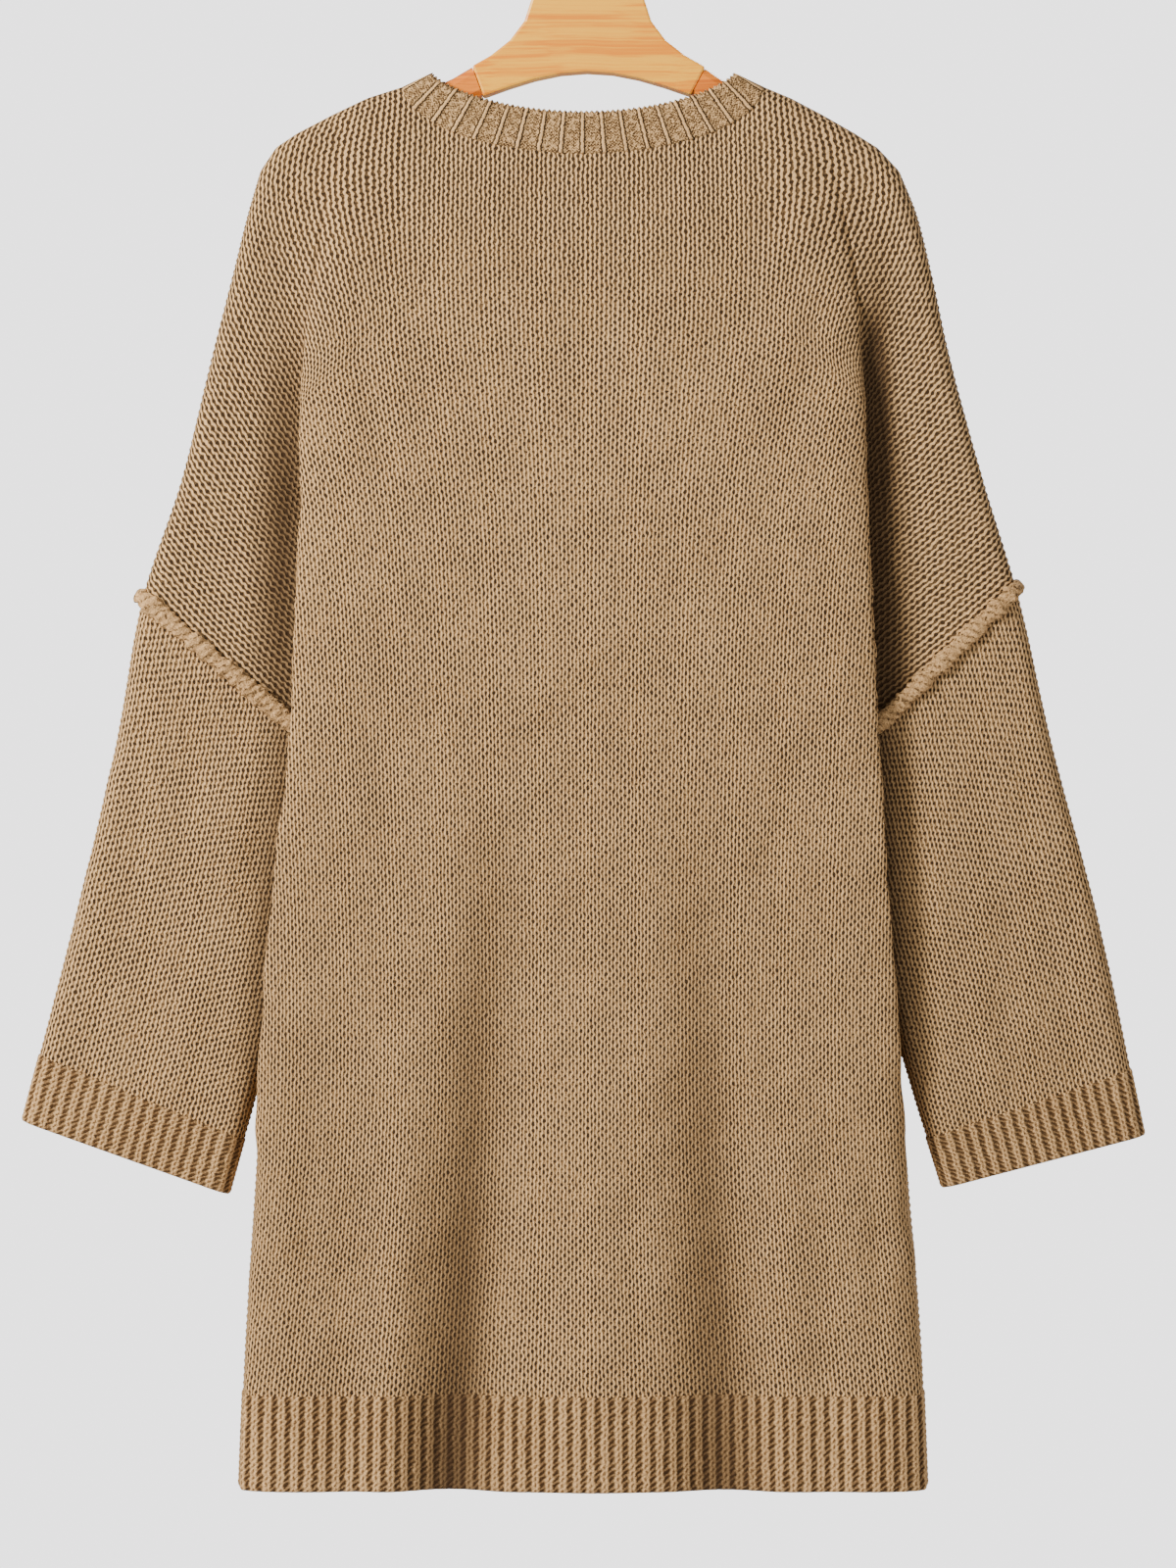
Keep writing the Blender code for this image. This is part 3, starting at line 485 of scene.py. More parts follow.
def cap_part(side, drop, steps, turn, x_at):
    """The flattened sleeve cap, from its edge or the drop seam in to the gully."""
    share = (drop - SEAM_DROP[side]) / (UNDERARM[side][1] - SEAM_DROP[side])
    if share <= 0.0:
        start_x, start_depth = edge_x(side, drop), 0.0
    else:
        start_x = seam_point(side, share)[0]
        start_depth = tube_depth(share, seam_length(side))

    def depth_at(x):
        inward = abs(x - start_x)
        if share <= 0.0:
            return CAP_DEPTH * rounded(inward)
        return mix(start_depth, CAP_DEPTH, ease(inward / SOFT_STEP))

    path = []
    flat_end = x_at(-1.0)
    if (flat_end - start_x) * side < 0.0:
        for k in range(LAP_STEPS):
            x = mix(start_x, flat_end, (k / LAP_STEPS) ** 2)
            path.append((x, depth_at(x)))
    for t in steps:
        if t >= turn or (x_at(t) - start_x) * side > 0.0:
            continue
        if not path:
            path.append((start_x, start_depth))
        toward = ((t + 1.0) / (turn + 1.0)) ** 3
        x = x_at(t)
        path.append((x, mix(depth_at(x), CAP_DEPTH + WALL, toward)))
    return path or [(start_x, start_depth)]


def panel_row(drops, folds, side_columns, body_columns):
    """One row of a panel as (x, depth, drop), left edge to right edge."""
    left = spread(side_slice(-1, drops[0]), side_columns)
    right = spread(side_slice(1, drops[1]), side_columns)
    share = np.arange(1, body_columns) / body_columns
    x = mix(left[-1, 0], right[-1, 0], share)
    drop = mix(drops[0], drops[1], share)
    plain = mix(left[-1, 1], right[-1, 1], share)
    ends = ease(np.minimum(share, 1.0 - share) * 8.0)
    middle = mix(plain, body_depth(folds, x, 0.5 * (drops[0] + drops[1])), ends)
    return np.vstack([
        np.column_stack([left, np.full(len(left), drops[0])]),
        np.column_stack([x, middle, drop]),
        np.column_stack([right, np.full(len(right), drops[1])])[::-1],
    ])


def row_stations():
    """The (left drop, right drop) of each row below the yoke."""
    stages = np.array([
        (SHOULDER_FALL, SHOULDER_FALL),
        (SEAM_DROP[-1], SEAM_DROP[1]),
        (UNDERARM[-1][1], UNDERARM[1][1]),
        (GROOVE_END, GROOVE_END),
        (HEM_TOP, HEM_TOP),
    ])
    parts = [np.linspace(here, below, round((below[0] - here[0]) / ROW_STEP), endpoint=False)
             for here, below in zip(stages, stages[1:])]
    return np.vstack(parts + [stages[-1:]])


def shoulder_path(side):
    """The shoulder line and the top of the cap edge, as (x, drop) points."""
    path = [(row[column_of(side)], row[0]) for row in SHOULDER]
    return path + [(row[column_of(side)], row[0]) for row in EDGE[1:4]]


def distance_to(path, points):
    """Distance of each (x, drop) point from a polyline."""
    best = np.full(len(points), 1e9)
    for a, b in zip(np.array(path), np.array(path[1:])):
        run = b - a
        share = limited((points - a) @ run / (run @ run))
        best = np.minimum(best, np.linalg.norm(a + share[:, None] * run - points, axis=1))
    return best


def cap_rise(points):
    """Depth of cloth over the hanger at (x, drop) points, rounded over the shoulders."""
    near = np.minimum(distance_to(shoulder_path(-1), points), distance_to(shoulder_path(1), points))
    return CAP_DEPTH * rounded(near)


def neck_angle(share):
    """Angle round the neck's half ellipse; stations crowd towards the shoulders."""
    return math.pi * (share - 0.1 * math.sin(TURN * share))


def neck_point(share, depth):
    """A point of the neckline, left shoulder to right shoulder, on a half ellipse."""
    left, right = SHOULDER[0][1], SHOULDER[0][2]
    angle = neck_angle(share)
    x = mix(left, right, 0.5 - 0.5 * math.cos(angle))
    return (x, NECK_DROP + depth * math.sin(angle))


def top_edge(neck_depth):
    """Top edge of a panel as (x, drop): shoulder, neckline, shoulder."""
    lines = {}
    for side in (-1, 1):
        line = [(row[column_of(side)], row[0]) for row in reversed(SHOULDER)]
        lines[side] = spread(line, SIDE_COLUMNS + 1)
    neck_columns = BODY_COLUMNS - 2
    neck = [neck_point(k / neck_columns, neck_depth) for k in range(1, neck_columns)]
    return np.vstack([lines[-1], neck, lines[1][::-1]])


def yoke_rows(first_row, neck_depth):
    """Rows from the top edge down to the first full row, on a blended patch."""
    top = top_edge(neck_depth)
    low = first_row[:, [0, 2]]
    u = np.linspace(0.0, 1.0, len(top))[:, None]
    fall = SHOULDER_FALL - EDGE[0][0]
    extra = first_row[:, 1] - cap_rise(low)
    rows = []
    for k in range(YOKE_ROWS):
        v = (k / YOKE_ROWS) ** 1.25
        drop = EDGE[0][0] + fall * v
        left, right = (np.array([edge_x(side, drop), drop]) for side in (-1, 1))
        corner = mix(mix(top[0], top[-1], u), mix(low[0], low[-1], u), v)
        spot = mix(top, low, v) + mix(left, right, u) - corner
        depth = cap_rise(spot) + ease(v) * extra
        depth[[0, -1]] = 0.0
        rows.append(np.column_stack([spot[:, 0], depth, spot[:, 1]]))
    return rows


def sleeve_edges(side, v):
    """Outer and inner edge of the sleeve as (x, drop), drop seam to wrist."""
    outer = on_edge(side, mix(SEAM_DROP[side], CUFF_DROP[side], v))
    inner = Vector(UNDERARM[side]).lerp(Vector(CUFF_INNER[side]), v)
    inner[0] -= side * INNER_BOW * math.sin(math.pi * v)
    return outer, inner


def sleeve_ring(side, v, half_columns):
    """Closed ring of the sleeve as (x, y, drop): near side out and far side back."""
    outer, inner = sleeve_edges(side, v)
    width = (inner - outer).length
    ring = []
    for k in range(2 * half_columns):
        across = 0.5 - 0.5 * math.cos(math.pi * k / half_columns)
        spot = outer.lerp(inner, across)
        depth = 0.0 if k in (0, half_columns) else tube_depth(across, width)
        ring.append((spot[0], depth if k > half_columns else -depth, spot[1]))
    return ring


def cuff_axis(side):
    """Unit direction down the sleeve, square to the wrist's edge."""
    outer, inner = sleeve_edges(side, 1.0)
    run = inner - outer
    axis = np.array((run[1], 0.0, -run[0])) / run.length
    return axis if axis[2] > 0.0 else -axis


# ---- meshes

def normals_of(grid, closed):
    """Unit normals of a grid of points, from its neighbouring points."""
    if closed:
        across = np.roll(grid, -1, 1) - np.roll(grid, 1, 1)
    else:
        across = np.gradient(grid, axis=1)
    return unit(np.cross(across, np.gradient(grid, axis=0)))


def new_object(name, data):
    """A new object in the scene with this mesh, light or camera."""
    item = bpy.data.objects.new(name, data)
    bpy.context.scene.collection.objects.link(item)
    return item


def grid_object(name, grid, stitches, material, closed=False, rolled=False, flip=False,
                state=None):
    """A smooth mesh over a grid of points, with its stitch and state maps.

    closed joins the last column to the first, and rolled joins the last row to the first.
    The map has one more column or row than the grid where it joins.
    """
    rows, columns = grid.shape[:2]
    i, j = np.meshgrid(np.arange(rows - (not rolled)), np.arange(columns - (not closed)),
                       indexing="ij")
    below, after = (i + 1) % rows, (j + 1) % columns
    corners = [i * columns + j, i * columns + after, below * columns + after, below * columns + j]
    places = [stitches[i, j], stitches[i, j + 1], stitches[i + 1, j + 1], stitches[i + 1, j]]
    if flip:
        corners.reverse()
        places.reverse()
    mesh = bpy.data.meshes.new(name)
    points = grid.reshape(-1, 3) * (METRES, METRES, -METRES)
    mesh.from_pydata(points.tolist(), [], np.stack(corners, -1).reshape(-1, 4).tolist())
    add_map(mesh, "stitch", np.stack(places, 2))
    if state is not None:
        add_map(mesh, "state", state.reshape(-1, 2)[np.stack(corners, -1)])
    mesh.materials.append(material)
    mesh.shade_smooth()
    return new_object(name, mesh)


def add_map(mesh, name, places):
    layer = mesh.uv_layers.new(name=name)
    layer.data.foreach_set("uv", places.astype(np.float32).ravel())


def stitch_map(v, u):
    """The map of a grid whose rows lie at v and whose columns lie at u."""
    return np.stack(np.meshgrid(v, u, indexing="ij")[::-1], 2)


def courses(rows):
    """-0.5 and 0.5 by turns down the rows of a grid, as two rows make one course."""
    return np.where(np.arange(rows) % 2 == 0, -0.5, 0.5)[:, None]


def put(item):
    """The piece rides on the one body and stands for its node."""
    slot, node = PIECES[item.name][:2]
    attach(item, "root")
    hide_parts(node)


# ---- body panels

def crease_depth(creases, x, drop):
    """How far the small creases press in at arrays of x and drop."""
    total = np.zeros_like(x)
    for x0, d0, x1, d1, half_width, depth in creases:
        run = np.array([x1 - x0, d1 - d0])
        share = ((x - x0) * run[0] + (drop - d0) * run[1]) / (run @ run)
        off = ((x - x0) * run[1] - (drop - d0) * run[0]) / np.linalg.norm(run)
        fade = limited(1.0 - np.abs(2.0 * share - 1.0)) ** 0.7
        total += depth * fade * np.exp(-2.0 * (off / half_width) ** 2)
    return total


def lateral(grid):
    """Distance across the cloth from the middle line, round the folds at the sides."""
    steps = np.hypot(np.diff(grid[:, :, 0], axis=1), np.diff(grid[:, :, 1], axis=1))
    across = grid[:, :, 0].copy()
    n = SIDE_COLUMNS
    across[:, :n] = across[:, n:n + 1] - np.cumsum(steps[:, :n][:, ::-1], axis=1)[:, ::-1]
    across[:, -n:] = across[:, -n - 1:-n] + np.cumsum(steps[:, -n:], axis=1)
    return across


def cap_weights(grid, across, side):
    """How far each point belongs to the sleeve cap.

    Over the shoulder it fades across a wide band. Lower down it fades where the gully
    hides it, from where the cap goes in under the body's fold to where the cloth comes out.
    """
    outer = across[:, 0] if side < 0 else across[:, -1]
    inward = np.abs(across - outer[:, None])
    weights = np.zeros(across.shape)
    for row, (points, passed) in enumerate(zip(grid, inward)):
        part = slice(0, SIDE_COLUMNS + 1) if side < 0 else slice(None, -SIDE_COLUMNS - 2, -1)
        x, y, drop = np.abs(points[part, 0]), points[part, 1], points[part, 2][0]
        if drop > UNDERARM[side][1] - 1.0:
            continue
        start, end = x[0] - CAP_MAP_X, x[0] - BODY_MAP_X
        hidden = ease((drop - HIDDEN_START) / HIDDEN_FALL)
        if hidden > 0.0:
            seen = max(0.0, x[0] - abs(fold_x(side, drop)))
            reach = passed[part]
            farthest = np.argmax((x + y) * (reach > seen + HIDDEN_SEARCH))
            back = max(reach[farthest], seen + HIDDEN_WIDTH)
            start, end = mix(start, seen, hidden), mix(end, back, hidden)
        weights[row] = 1.0 - ease((passed - start) / (end - start))
    return weights


def gauge(table, drop, column):
    """A column of a table at an array of drops."""
    return np.interp(drop, GAUGE_DROPS, [read(table, d, column) for d in GAUGE_DROPS])


def counted(table, drop, column):
    """How many courses lie above an array of drops, for a table of their heights."""
    courses_each = GAUGE_STEP / gauge(table, GAUGE_DROPS, column)
    return np.interp(drop, GAUGE_DROPS, np.cumsum(courses_each))


def depth_share(grid):
    """How deep each point lies, as a share of the caps' depth, up to 1."""
    return limited(np.abs(grid[:, :, 1]) / CAP_DEPTH)


def edge_turn(grid):
    """How much longer the cloth is than it looks where it turns round the outer edge."""
    turn = np.sqrt(1.0 - depth_share(grid) ** 2)
    return CAP_DEPTH * (np.arcsin(turn) - turn)


def panel_stitches(grid, across, caps):
    """The stitch map: upright wales on the body, turned with the sleeve on the caps."""
    turned = edge_turn(grid)
    level = ease((grid[:, :, 2] - SLOPE_END) / SLOPE_FALL)
    drop = grid[:, :, 2] - turned * (1.0 - level)
    u = across / gauge(BODY_GAUGE, drop, 1)
    v = counted(BODY_GAUGE, drop, 2)
    wale = gauge(CAP_GAUGE, drop, 3)
    pivot_v = counted(BODY_GAUGE, CAP_PIVOT[1], 2)
    down = drop - CAP_PIVOT[1]
    for side in (-1, 1):
        pivot_x = side * CAP_PIVOT[0]
        pivot_u = pivot_x / read(BODY_GAUGE, CAP_PIVOT[1], 1)
        lean = np.radians(gauge(CAP_GAUGE, drop, column_of(side))) * -side
        x = grid[:, :, 0] + side * turned * level - pivot_x
        turned_u = pivot_u + (x * np.cos(lean) - down * np.sin(lean)) / wale
        turned_v = pivot_v + (x * np.sin(lean) + down * np.cos(lean)) / SLEEVE_COURSE
        u, v = mix(u, turned_u, caps[side]), mix(v, turned_v, caps[side])
    return np.stack([u, v], 2)


def gullies(grid):
    """How deep each point lies below the cloth beside it in its row, from 0 to 1, as painted shade
    in the gullies.
    """
    shade = np.empty(grid.shape[:2])
    for row, points in enumerate(grid):
        y = np.abs(points[:, 1])
        away = np.abs(points[:, 0][:, None] - points[:, 0][None, :])
        shade[row] = (y[None, :] - y[:, None] - GULLY_SLOPE * away).max(1) / GULLY_HEIGHT
    return limited(shade)


def troughs(folds, x, drop):
    """How deep points lie in the body's main folds, from 0 to 1, as painted shade."""
    total = np.zeros_like(x)
    down = limited((drop - TROUGH_START) / (HEM_BOTTOM - TROUGH_START))
    for start, x_start, x_hem, _, deep in folds:
        if deep < MAIN_FOLD:
            continue
        centre = mix(x_start, x_hem, limited((drop - start) / (HEM_BOTTOM - start)))
        off = (x - centre) / (TROUGH_HALF_WIDTH * (0.7 + 0.3 * down))
        total += TROUGH_SHADE * deep * down ** 0.55 * np.exp(-2.0 * off * off)
    return limited(total)


def panel_state(grid, caps, folds, shades):
    """The state map of a panel: painted shade in the hollows of its gullies and folds and in its
    broad shades, and drawn out stitches.

    Stitches are pulled into lines under the neckband and down the sleeve caps.
    """
    x, drop = grid[:, :, 0], grid[:, :, 2]
    gully = gullies(grid) * sum(GULLY_SHADE[side] * caps[side] for side in (-1, 1))
    # Painted shade: gullies on the caps, the main folds, and the broad shades read as creases
    hollow = np.maximum(gully, troughs(folds, x, drop)) + crease_depth(shades, x, drop)
    under_band = 1.0 - ease((drop - SLOPE_END) / NECK_DRAWN_FALL)
    drawn = CAP_DRAWN * (caps[-1] + caps[1]) * ease((drop - CAP_DRAWN_START) / CAP_DRAWN_FALL)
    drawn += NECK_DRAWN * under_band + BODY_DRAWN
    return limited(np.stack([hollow, drawn], 2))


def edge_bumps(grid):
    """Small bumps, one to a course, that make the outer edges uneven."""
    near = (1.0 - depth_share(grid)) ** 2
    level = ease((grid[:, :, 2] - SLOPE_END) / BUMP_FALL)
    return EDGE_BUMP * near * courses(len(grid)) * level * np.sign(grid[:, :, 0])


def lumps(x, drop, seed):
    """Slow unevenness of hand-like knitting, from a few crossing waves."""
    waves = np.random.default_rng(seed)
    total = np.zeros_like(x)
    for _ in range(LUMP_WAVES):
        length = waves.uniform(*LUMP_LENGTHS)
        angle = waves.uniform(0.0, math.pi)
        phase = waves.uniform(0.0, TURN)
        along = x * math.cos(angle) + drop * math.sin(angle)
        total += np.sin(TURN * along / length + phase)
    return total / LUMP_WAVES ** 0.5


def make_panel(name, face, neck_depth, folds, creases, shades, material):
    """One face of the body with its sleeve caps, round to the garment's outer edges."""
    rows = [panel_row(d, folds, SIDE_COLUMNS, BODY_COLUMNS) for d in row_stations()]
    grid = np.array(yoke_rows(rows[0], neck_depth) + rows)
    across = lateral(grid)
    caps = {side: cap_weights(grid, across, side) for side in (-1, 1)}
    stitches = panel_stitches(grid, across, caps)
    state = panel_state(grid, caps, folds, shades)
    grid[:, :, 0] += edge_bumps(grid)
    grid[:, :, 1] *= face
    outward = normals_of(grid, False) * -face
    press = crease_depth(creases, grid[:, :, 0], grid[:, :, 2])
    press -= LUMP * lumps(grid[:, :, 0], grid[:, :, 2], 11 + int(face))
    hem_fade = limited((HEM_TOP - grid[:, :, 2]) / HEM_FADE)
    grid -= outward * (press * hem_fade * depth_share(grid))[:, :, None]
    put(grid_object(name, grid, stitches, material, flip=face < 0, state=state))


# ---- sleeves and bands

def outward_of(rings):
    """Outward unit normals of a tube of rings, shape (rings, points, 3)."""
    normals = normals_of(rings, True)
    middle = rings[0].mean(axis=0)
    sign = 1.0 if (rings[0][0] - middle) @ normals[0][0] > 0.0 else -1.0
    return normals * sign


def sleeve_length(side):
    """Length of the sleeve's outer edge, drop seam to wrist."""
    return (on_edge(side, CUFF_DROP[side]) - seam_point(side, 0.0)).length


def cuff_share(side):
    """Share of the sleeve's length where the cuff begins."""
    return 1.0 - CUFF_LENGTH / sleeve_length(side)


def make_sleeve(name, side, material):
    """A flattened tube from the drop seam to the cuff, its stitches along its length."""
    end = cuff_share(side)
    columns = WALE_COLUMNS * round(2.0 * seam_length(side) / SLEEVE_WALE)
    rows = round(sleeve_length(side) * end / ROW_STEP)
    rings = [sleeve_ring(side, end * k / rows, SLEEVE_POINTS) for k in range(rows + 1)]
    rings = np.array([spread(ring, columns, closed=True) for ring in rings])
    outward = outward_of(rings)
    thin = np.maximum(depth_share(rings), THIN_EDGE)
    press = LUMP * lumps(rings[:, :, 0], rings[:, :, 2], 5 + side)
    press += sleeve_creases(side, rings, end)
    press += EDGE_BUMP * courses(rows + 1) * (1.0 - thin) ** 2 / thin
    rings = rings - outward * (press * thin)[:, :, None]
    stitches = stitch_map(np.arange(rows + 1) * ROW_STEP / SLEEVE_COURSE,
                          np.arange(columns + 1) / WALE_COLUMNS)
    drawn = np.full(rings.shape[:2], SLEEVE_DRAWN)
    state = np.stack([sleeve_painted_shade(side, rings), drawn], 2)
    put(grid_object(name, rings, stitches, material, closed=True, flip=side < 0, state=state))


def sleeve_painted_shade(side, rings):
    """How much painted shade each point of a sleeve takes: in the hollow beside the body's fold,
    and over the whole sleeve by its side.
    """
    drops = np.linspace(SEAM_DROP[side], HEM_TOP, 200)
    folds = [abs(fold_x(side, d)) for d in drops]
    clear = np.abs(rings[:, :, 0]) - np.interp(rings[:, :, 2], drops, folds)
    return SLEEVE_GULLY_SHADE * (1.0 - ease(clear / SLEEVE_GULLY_WIDTH)) + SLEEVE_SHADE[side]


def sleeve_creases(side, rings, end):
    """How far the soft creases that run down a sleeve press in at each of its points."""
    press = np.zeros(rings.shape[:2])
    v = np.linspace(0.0, end, len(rings))[:, None]
    edges = np.array([sleeve_edges(side, float(share)) for share in v[:, 0]])
    outer, run = edges[:, 0], edges[:, 1] - edges[:, 0]
    spot = rings[:, :, [0, 2]] - outer[:, None, :]
    across = (spot * run[:, None, :]).sum(2) / (run * run).sum(1)[:, None]
    for centre, drift, start, stop, half_width, depth in SLEEVE_CREASES:
        off = (across - centre - drift * v) / half_width
        fade = limited((v - start) / CREASE_FADE) * limited((stop - v) / CREASE_FADE)
        press += depth * fade * np.exp(-2.0 * off * off)
    return press


def rib_profile(count):
    """Rise round a ribbed band: two strands to a rib, and a groove between ribs."""
    turn = TURN * np.arange(count) / RIB_COLUMNS
    broad = (0.5 - 0.5 * np.cos(turn)) ** 0.6
    return broad - 0.3 * limited(-np.cos(turn) - 0.6) / 0.4


def cord_profile(count):
    """Rise round the neckband: narrow cords between wide, nearly flat stretches."""
    turn = TURN * np.arange(count) / CORD_COLUMNS
    return (0.5 - 0.5 * np.cos(turn)) ** 6


def ribbed_wall(name, top, low, axis, rows, hollow, material):
    """A closed wall between two rings, ribbed outside, with a rounded lower rim.

    hollow is a function that gives the painted shade of a grid of points.
    """
    count = len(top)
    rings = np.array([mix(top, low, share) for share in np.linspace(0.0, 1.0, rows + 1)])
    outward = outward_of(rings)
    rib = (RIB_RISE * rib_profile(count))[None, :]
    bumps = RIB_BUMP * courses(rows + 1) * (rib > 0.3)
    outer = rings + outward * (rib + bumps)[:, :, None]
    inner = (rings - outward * WALL)[::-1][::3]
    rim = [mix(outer[-1], inner[0], share) + axis for share in (0.2, 0.5, 0.8)]
    walls = np.concatenate([outer, np.array(rim), inner])
    walls[-1] = walls[-1] + axis * ((walls[0] - walls[-1]) @ axis)[:, None]
    stitches = stitch_map(np.arange(len(walls) + 1) * 0.5, np.arange(count + 1) / RIB_COLUMNS)
    state = np.stack([hollow(walls), np.zeros(walls.shape[:2])], 2)
    put(grid_object(name, walls, stitches, material, closed=True, rolled=True, state=state))


def make_cuff(name, side, material):
    """The ribbed band from the sleeve's lower edge to the wrist."""
    top, low = (spread(sleeve_ring(side, v, CUFF_POINTS), RIB_COLUMNS * CUFF_RIBS, closed=True)
                for v in (cuff_share(side), 1.0))
    ribbed_wall(name, top, low, cuff_axis(side), CUFF_ROWS,
                lambda points: sleeve_painted_shade(side, points), material)


def body_ring(drop, count):
    """Closed level ring of the body as (x, y, drop)."""
    ring = []
    for face, folds in ((-1.0, BACK_FOLDS), (1.0, FRONT_FOLDS)):
        row = panel_row((drop, drop), folds, HEM_SIDE_COLUMNS, HEM_BODY_COLUMNS) * (1.0, face, 1.0)
        row = row if face < 0.0 else row[::-1]
        ring.append(row[:-1])
    return spread(np.vstack(ring), count, closed=True)


def hem_painted_shade(points):
    """How deep each point of the hem band lies in a fold of its face of the body, as painted shade.
    """
    x, y, drop = points[:, :, 0], points[:, :, 1], points[:, :, 2]
    return np.where(y < 0.0, troughs(BACK_FOLDS, x, drop), troughs(FRONT_FOLDS, x, drop))


def make_hem(material):
    """The ribbed band round the lower edge of the body."""
    top, low = (body_ring(drop, RIB_COLUMNS * HEM_RIBS) for drop in (HEM_TOP, HEM_BOTTOM))
    ribbed_wall("hem_ribs", top, low, np.array((0.0, 0.0, 1.0)), HEM_ROWS, hem_painted_shade, material)


# ---- neckband

def band_top(share, face):
    """Top edge of the neckband as (x, y, drop), left to right, on one face."""
    depth = BACK_NECK_DEPTH if face < 0 else FRONT_NECK_DEPTH
    angle = neck_angle(share)
    fall = depth - BAND_HEIGHT + NECK_DROP - BAND_TOP_DROP
    drop = BAND_TOP_DROP + fall * max(math.sin(angle), 0.0) ** 1.4
    x = NECK_CENTRE - BAND_HALF_WIDTH * math.cos(angle)
    y = face * (CAP_DEPTH - 0.5) * rounded(EDGE_ROUND * 2.2 * math.sin(angle))
    return np.array((x, y, drop))


def band_low(share, face):
    """The neckline under the band, on the outside and on the inside of the cloth."""
    x, drop = neck_point(share, BACK_NECK_DEPTH if face < 0 else FRONT_NECK_DEPTH)
    rise = float(cap_rise(np.array([[x, drop]]))[0])
    return (np.array((x, face * max(rise, 0.15), drop)),
            np.array((x, face * max(rise - WALL, -WALL * 0.2), drop)))


def neck_stations(count):
    """Evenly spaced (share, face) stations round the neck: the back, then the front."""
    shares = np.linspace(0.0, 1.0, 600)
    passed = {}
    for face in (-1, 1):
        path = np.array([mix(band_top(s, face), band_low(s, face)[0], 0.5) for s in shares])
        passed[face] = passed_along(path)
    back = round(count * passed[-1][-1] / (passed[-1][-1] + passed[1][-1]))
    stations = []
    for face, number in ((-1, back), (1, count - back)):
        goals = np.linspace(0.0, passed[face][-1], number, endpoint=False)
        along = np.interp(goals, passed[face], shares)
        stations += [(share if face < 0 else 1.0 - share, face) for share in along]
    return stations


def band_column(k, share, face, cord):
    """One column of the neckband's closed wall: up its outside, over the top and down."""
    top = band_top(share, face)
    low_out, low_in = band_low(share, face)
    up = unit(top - 0.5 * (low_out + low_in))
    out = unit(np.array((0.0, face, 0.0)) - up * up[1] * face)
    radius = 0.5 * BAND_THICK
    crest = top + up * (BAND_SCALLOP * math.cos(0.5 * math.pi * k) - radius)
    column = np.zeros((2 * BAND_ROWS, 3))
    for row in range(BAND_ROWS):
        height = row / (BAND_ROWS - 1)
        purl = PURL_BUMP * (-1.0) ** (row + k // 3) * (1.0 - cord)
        column[row] = mix(low_out, crest + out * radius, height) + out * (CORD_RISE * cord + purl)
        column[-1 - row] = mix(low_in, crest - out * radius, height)
    for row, turn in ((BAND_ROWS - 1, 0.35), (BAND_ROWS, 0.65)):
        angle = math.pi * turn
        column[row] = crest + (out * math.cos(angle) + up * math.sin(angle)) * radius
    return column


def make_neckband(material):
    """A corded ring that stands on the neckline and leans in towards its rolled top."""
    count = BAND_RIBS * CORD_COLUMNS
    cords = cord_profile(count)
    columns = [band_column(k, share, face, cords[k])
               for k, (share, face) in enumerate(neck_stations(count))]
    stitches = stitch_map(np.arange(2 * BAND_ROWS + 1) * 0.45, np.arange(count + 1) / CORD_COLUMNS)
    put(grid_object("neck_ribs", np.stack(columns, 1), stitches, material, closed=True,
                    rolled=True))


# ---- raised drop seams

def roll_path(side):
    """Points along the roll's foot, round the sleeve, and the ways out of the cloth there."""
    centres = []
    for k in range(-ROLL_STATIONS, ROLL_STATIONS + 1):
        across = ROLL_REACH * (abs(k) / ROLL_STATIONS) ** 1.2
        spot = seam_point(side, across)
        depth = tube_depth(across, seam_length(side))
        centres.append((spot[0], depth if k > 0 else -depth, spot[1]))
    centres = np.array(centres)
    out = unit(np.cross(np.gradient(centres, axis=0), seam_axis(side)))
    out *= np.where(out[:, 0] * side + out[:, 1] * centres[:, 1] < 0.0, -1.0, 1.0)[:, None]
    return centres, out


def make_roll(name, side, material):
    """The exposed seam: a flattened roll of chained stitches over the drop seam."""
    centres, out = roll_path(side)
    passed = passed_along(centres)[:, None]
    knobs = lumps(passed * 4.0, centres[:, 2:], 31 + side)
    reach = np.abs(np.arange(len(centres)) - ROLL_STATIONS)[:, None] / ROLL_STATIONS
    taper = ease((reach - ROLL_TAPER_START) / (1.0 - ROLL_TAPER_START))
    turn = 1.0 - ease(np.abs(passed - passed[ROLL_STATIONS]) / ROLL_TURN)
    chain = 0.5 + 0.5 * np.cos(TURN * passed / ROLL_STITCH)
    angle = TURN * np.arange(ROLL_POINTS) / ROLL_POINTS
    lobes = chain * np.abs(np.sin(angle * 2.0 + 0.8 + 1.3 * knobs))
    size = mix(1.0, ROLL_END_SIZE, taper) * (1.0 + ROLL_KNOBS * knobs + ROLL_CHAIN * chain)
    size = size * (1.0 + ROLL_LOBES * lobes)
    wide = mix(ROLL_HALF_WIDTH, ROLL_EDGE_HALF_WIDTH, turn) * size * np.cos(angle)
    high = 0.5 * mix(ROLL_RISE, ROLL_EDGE_RISE, turn) * size * (1.0 + np.sin(angle))
    rings = (centres[:, None] + out[:, None] * (ROLL_LIFT + high)[:, :, None]
             + seam_axis(side) * wide[:, :, None])
    stitches = stitch_map(passed[:, 0] / ROLL_STITCH, np.arange(ROLL_POINTS + 1) * 0.5)
    put(grid_object(name, rings, stitches, material, closed=True, flip=side < 0))


# ---- node helpers

def new_material(name, constants):
    """A material whose shader takes these constant values on its own sockets."""
    material = bpy.data.materials.new(name)
    material.use_nodes = True
    shader = material.node_tree.nodes["Principled BSDF"]
    for socket, value in constants.items():
        shader.inputs[socket].default_value = value
    return material


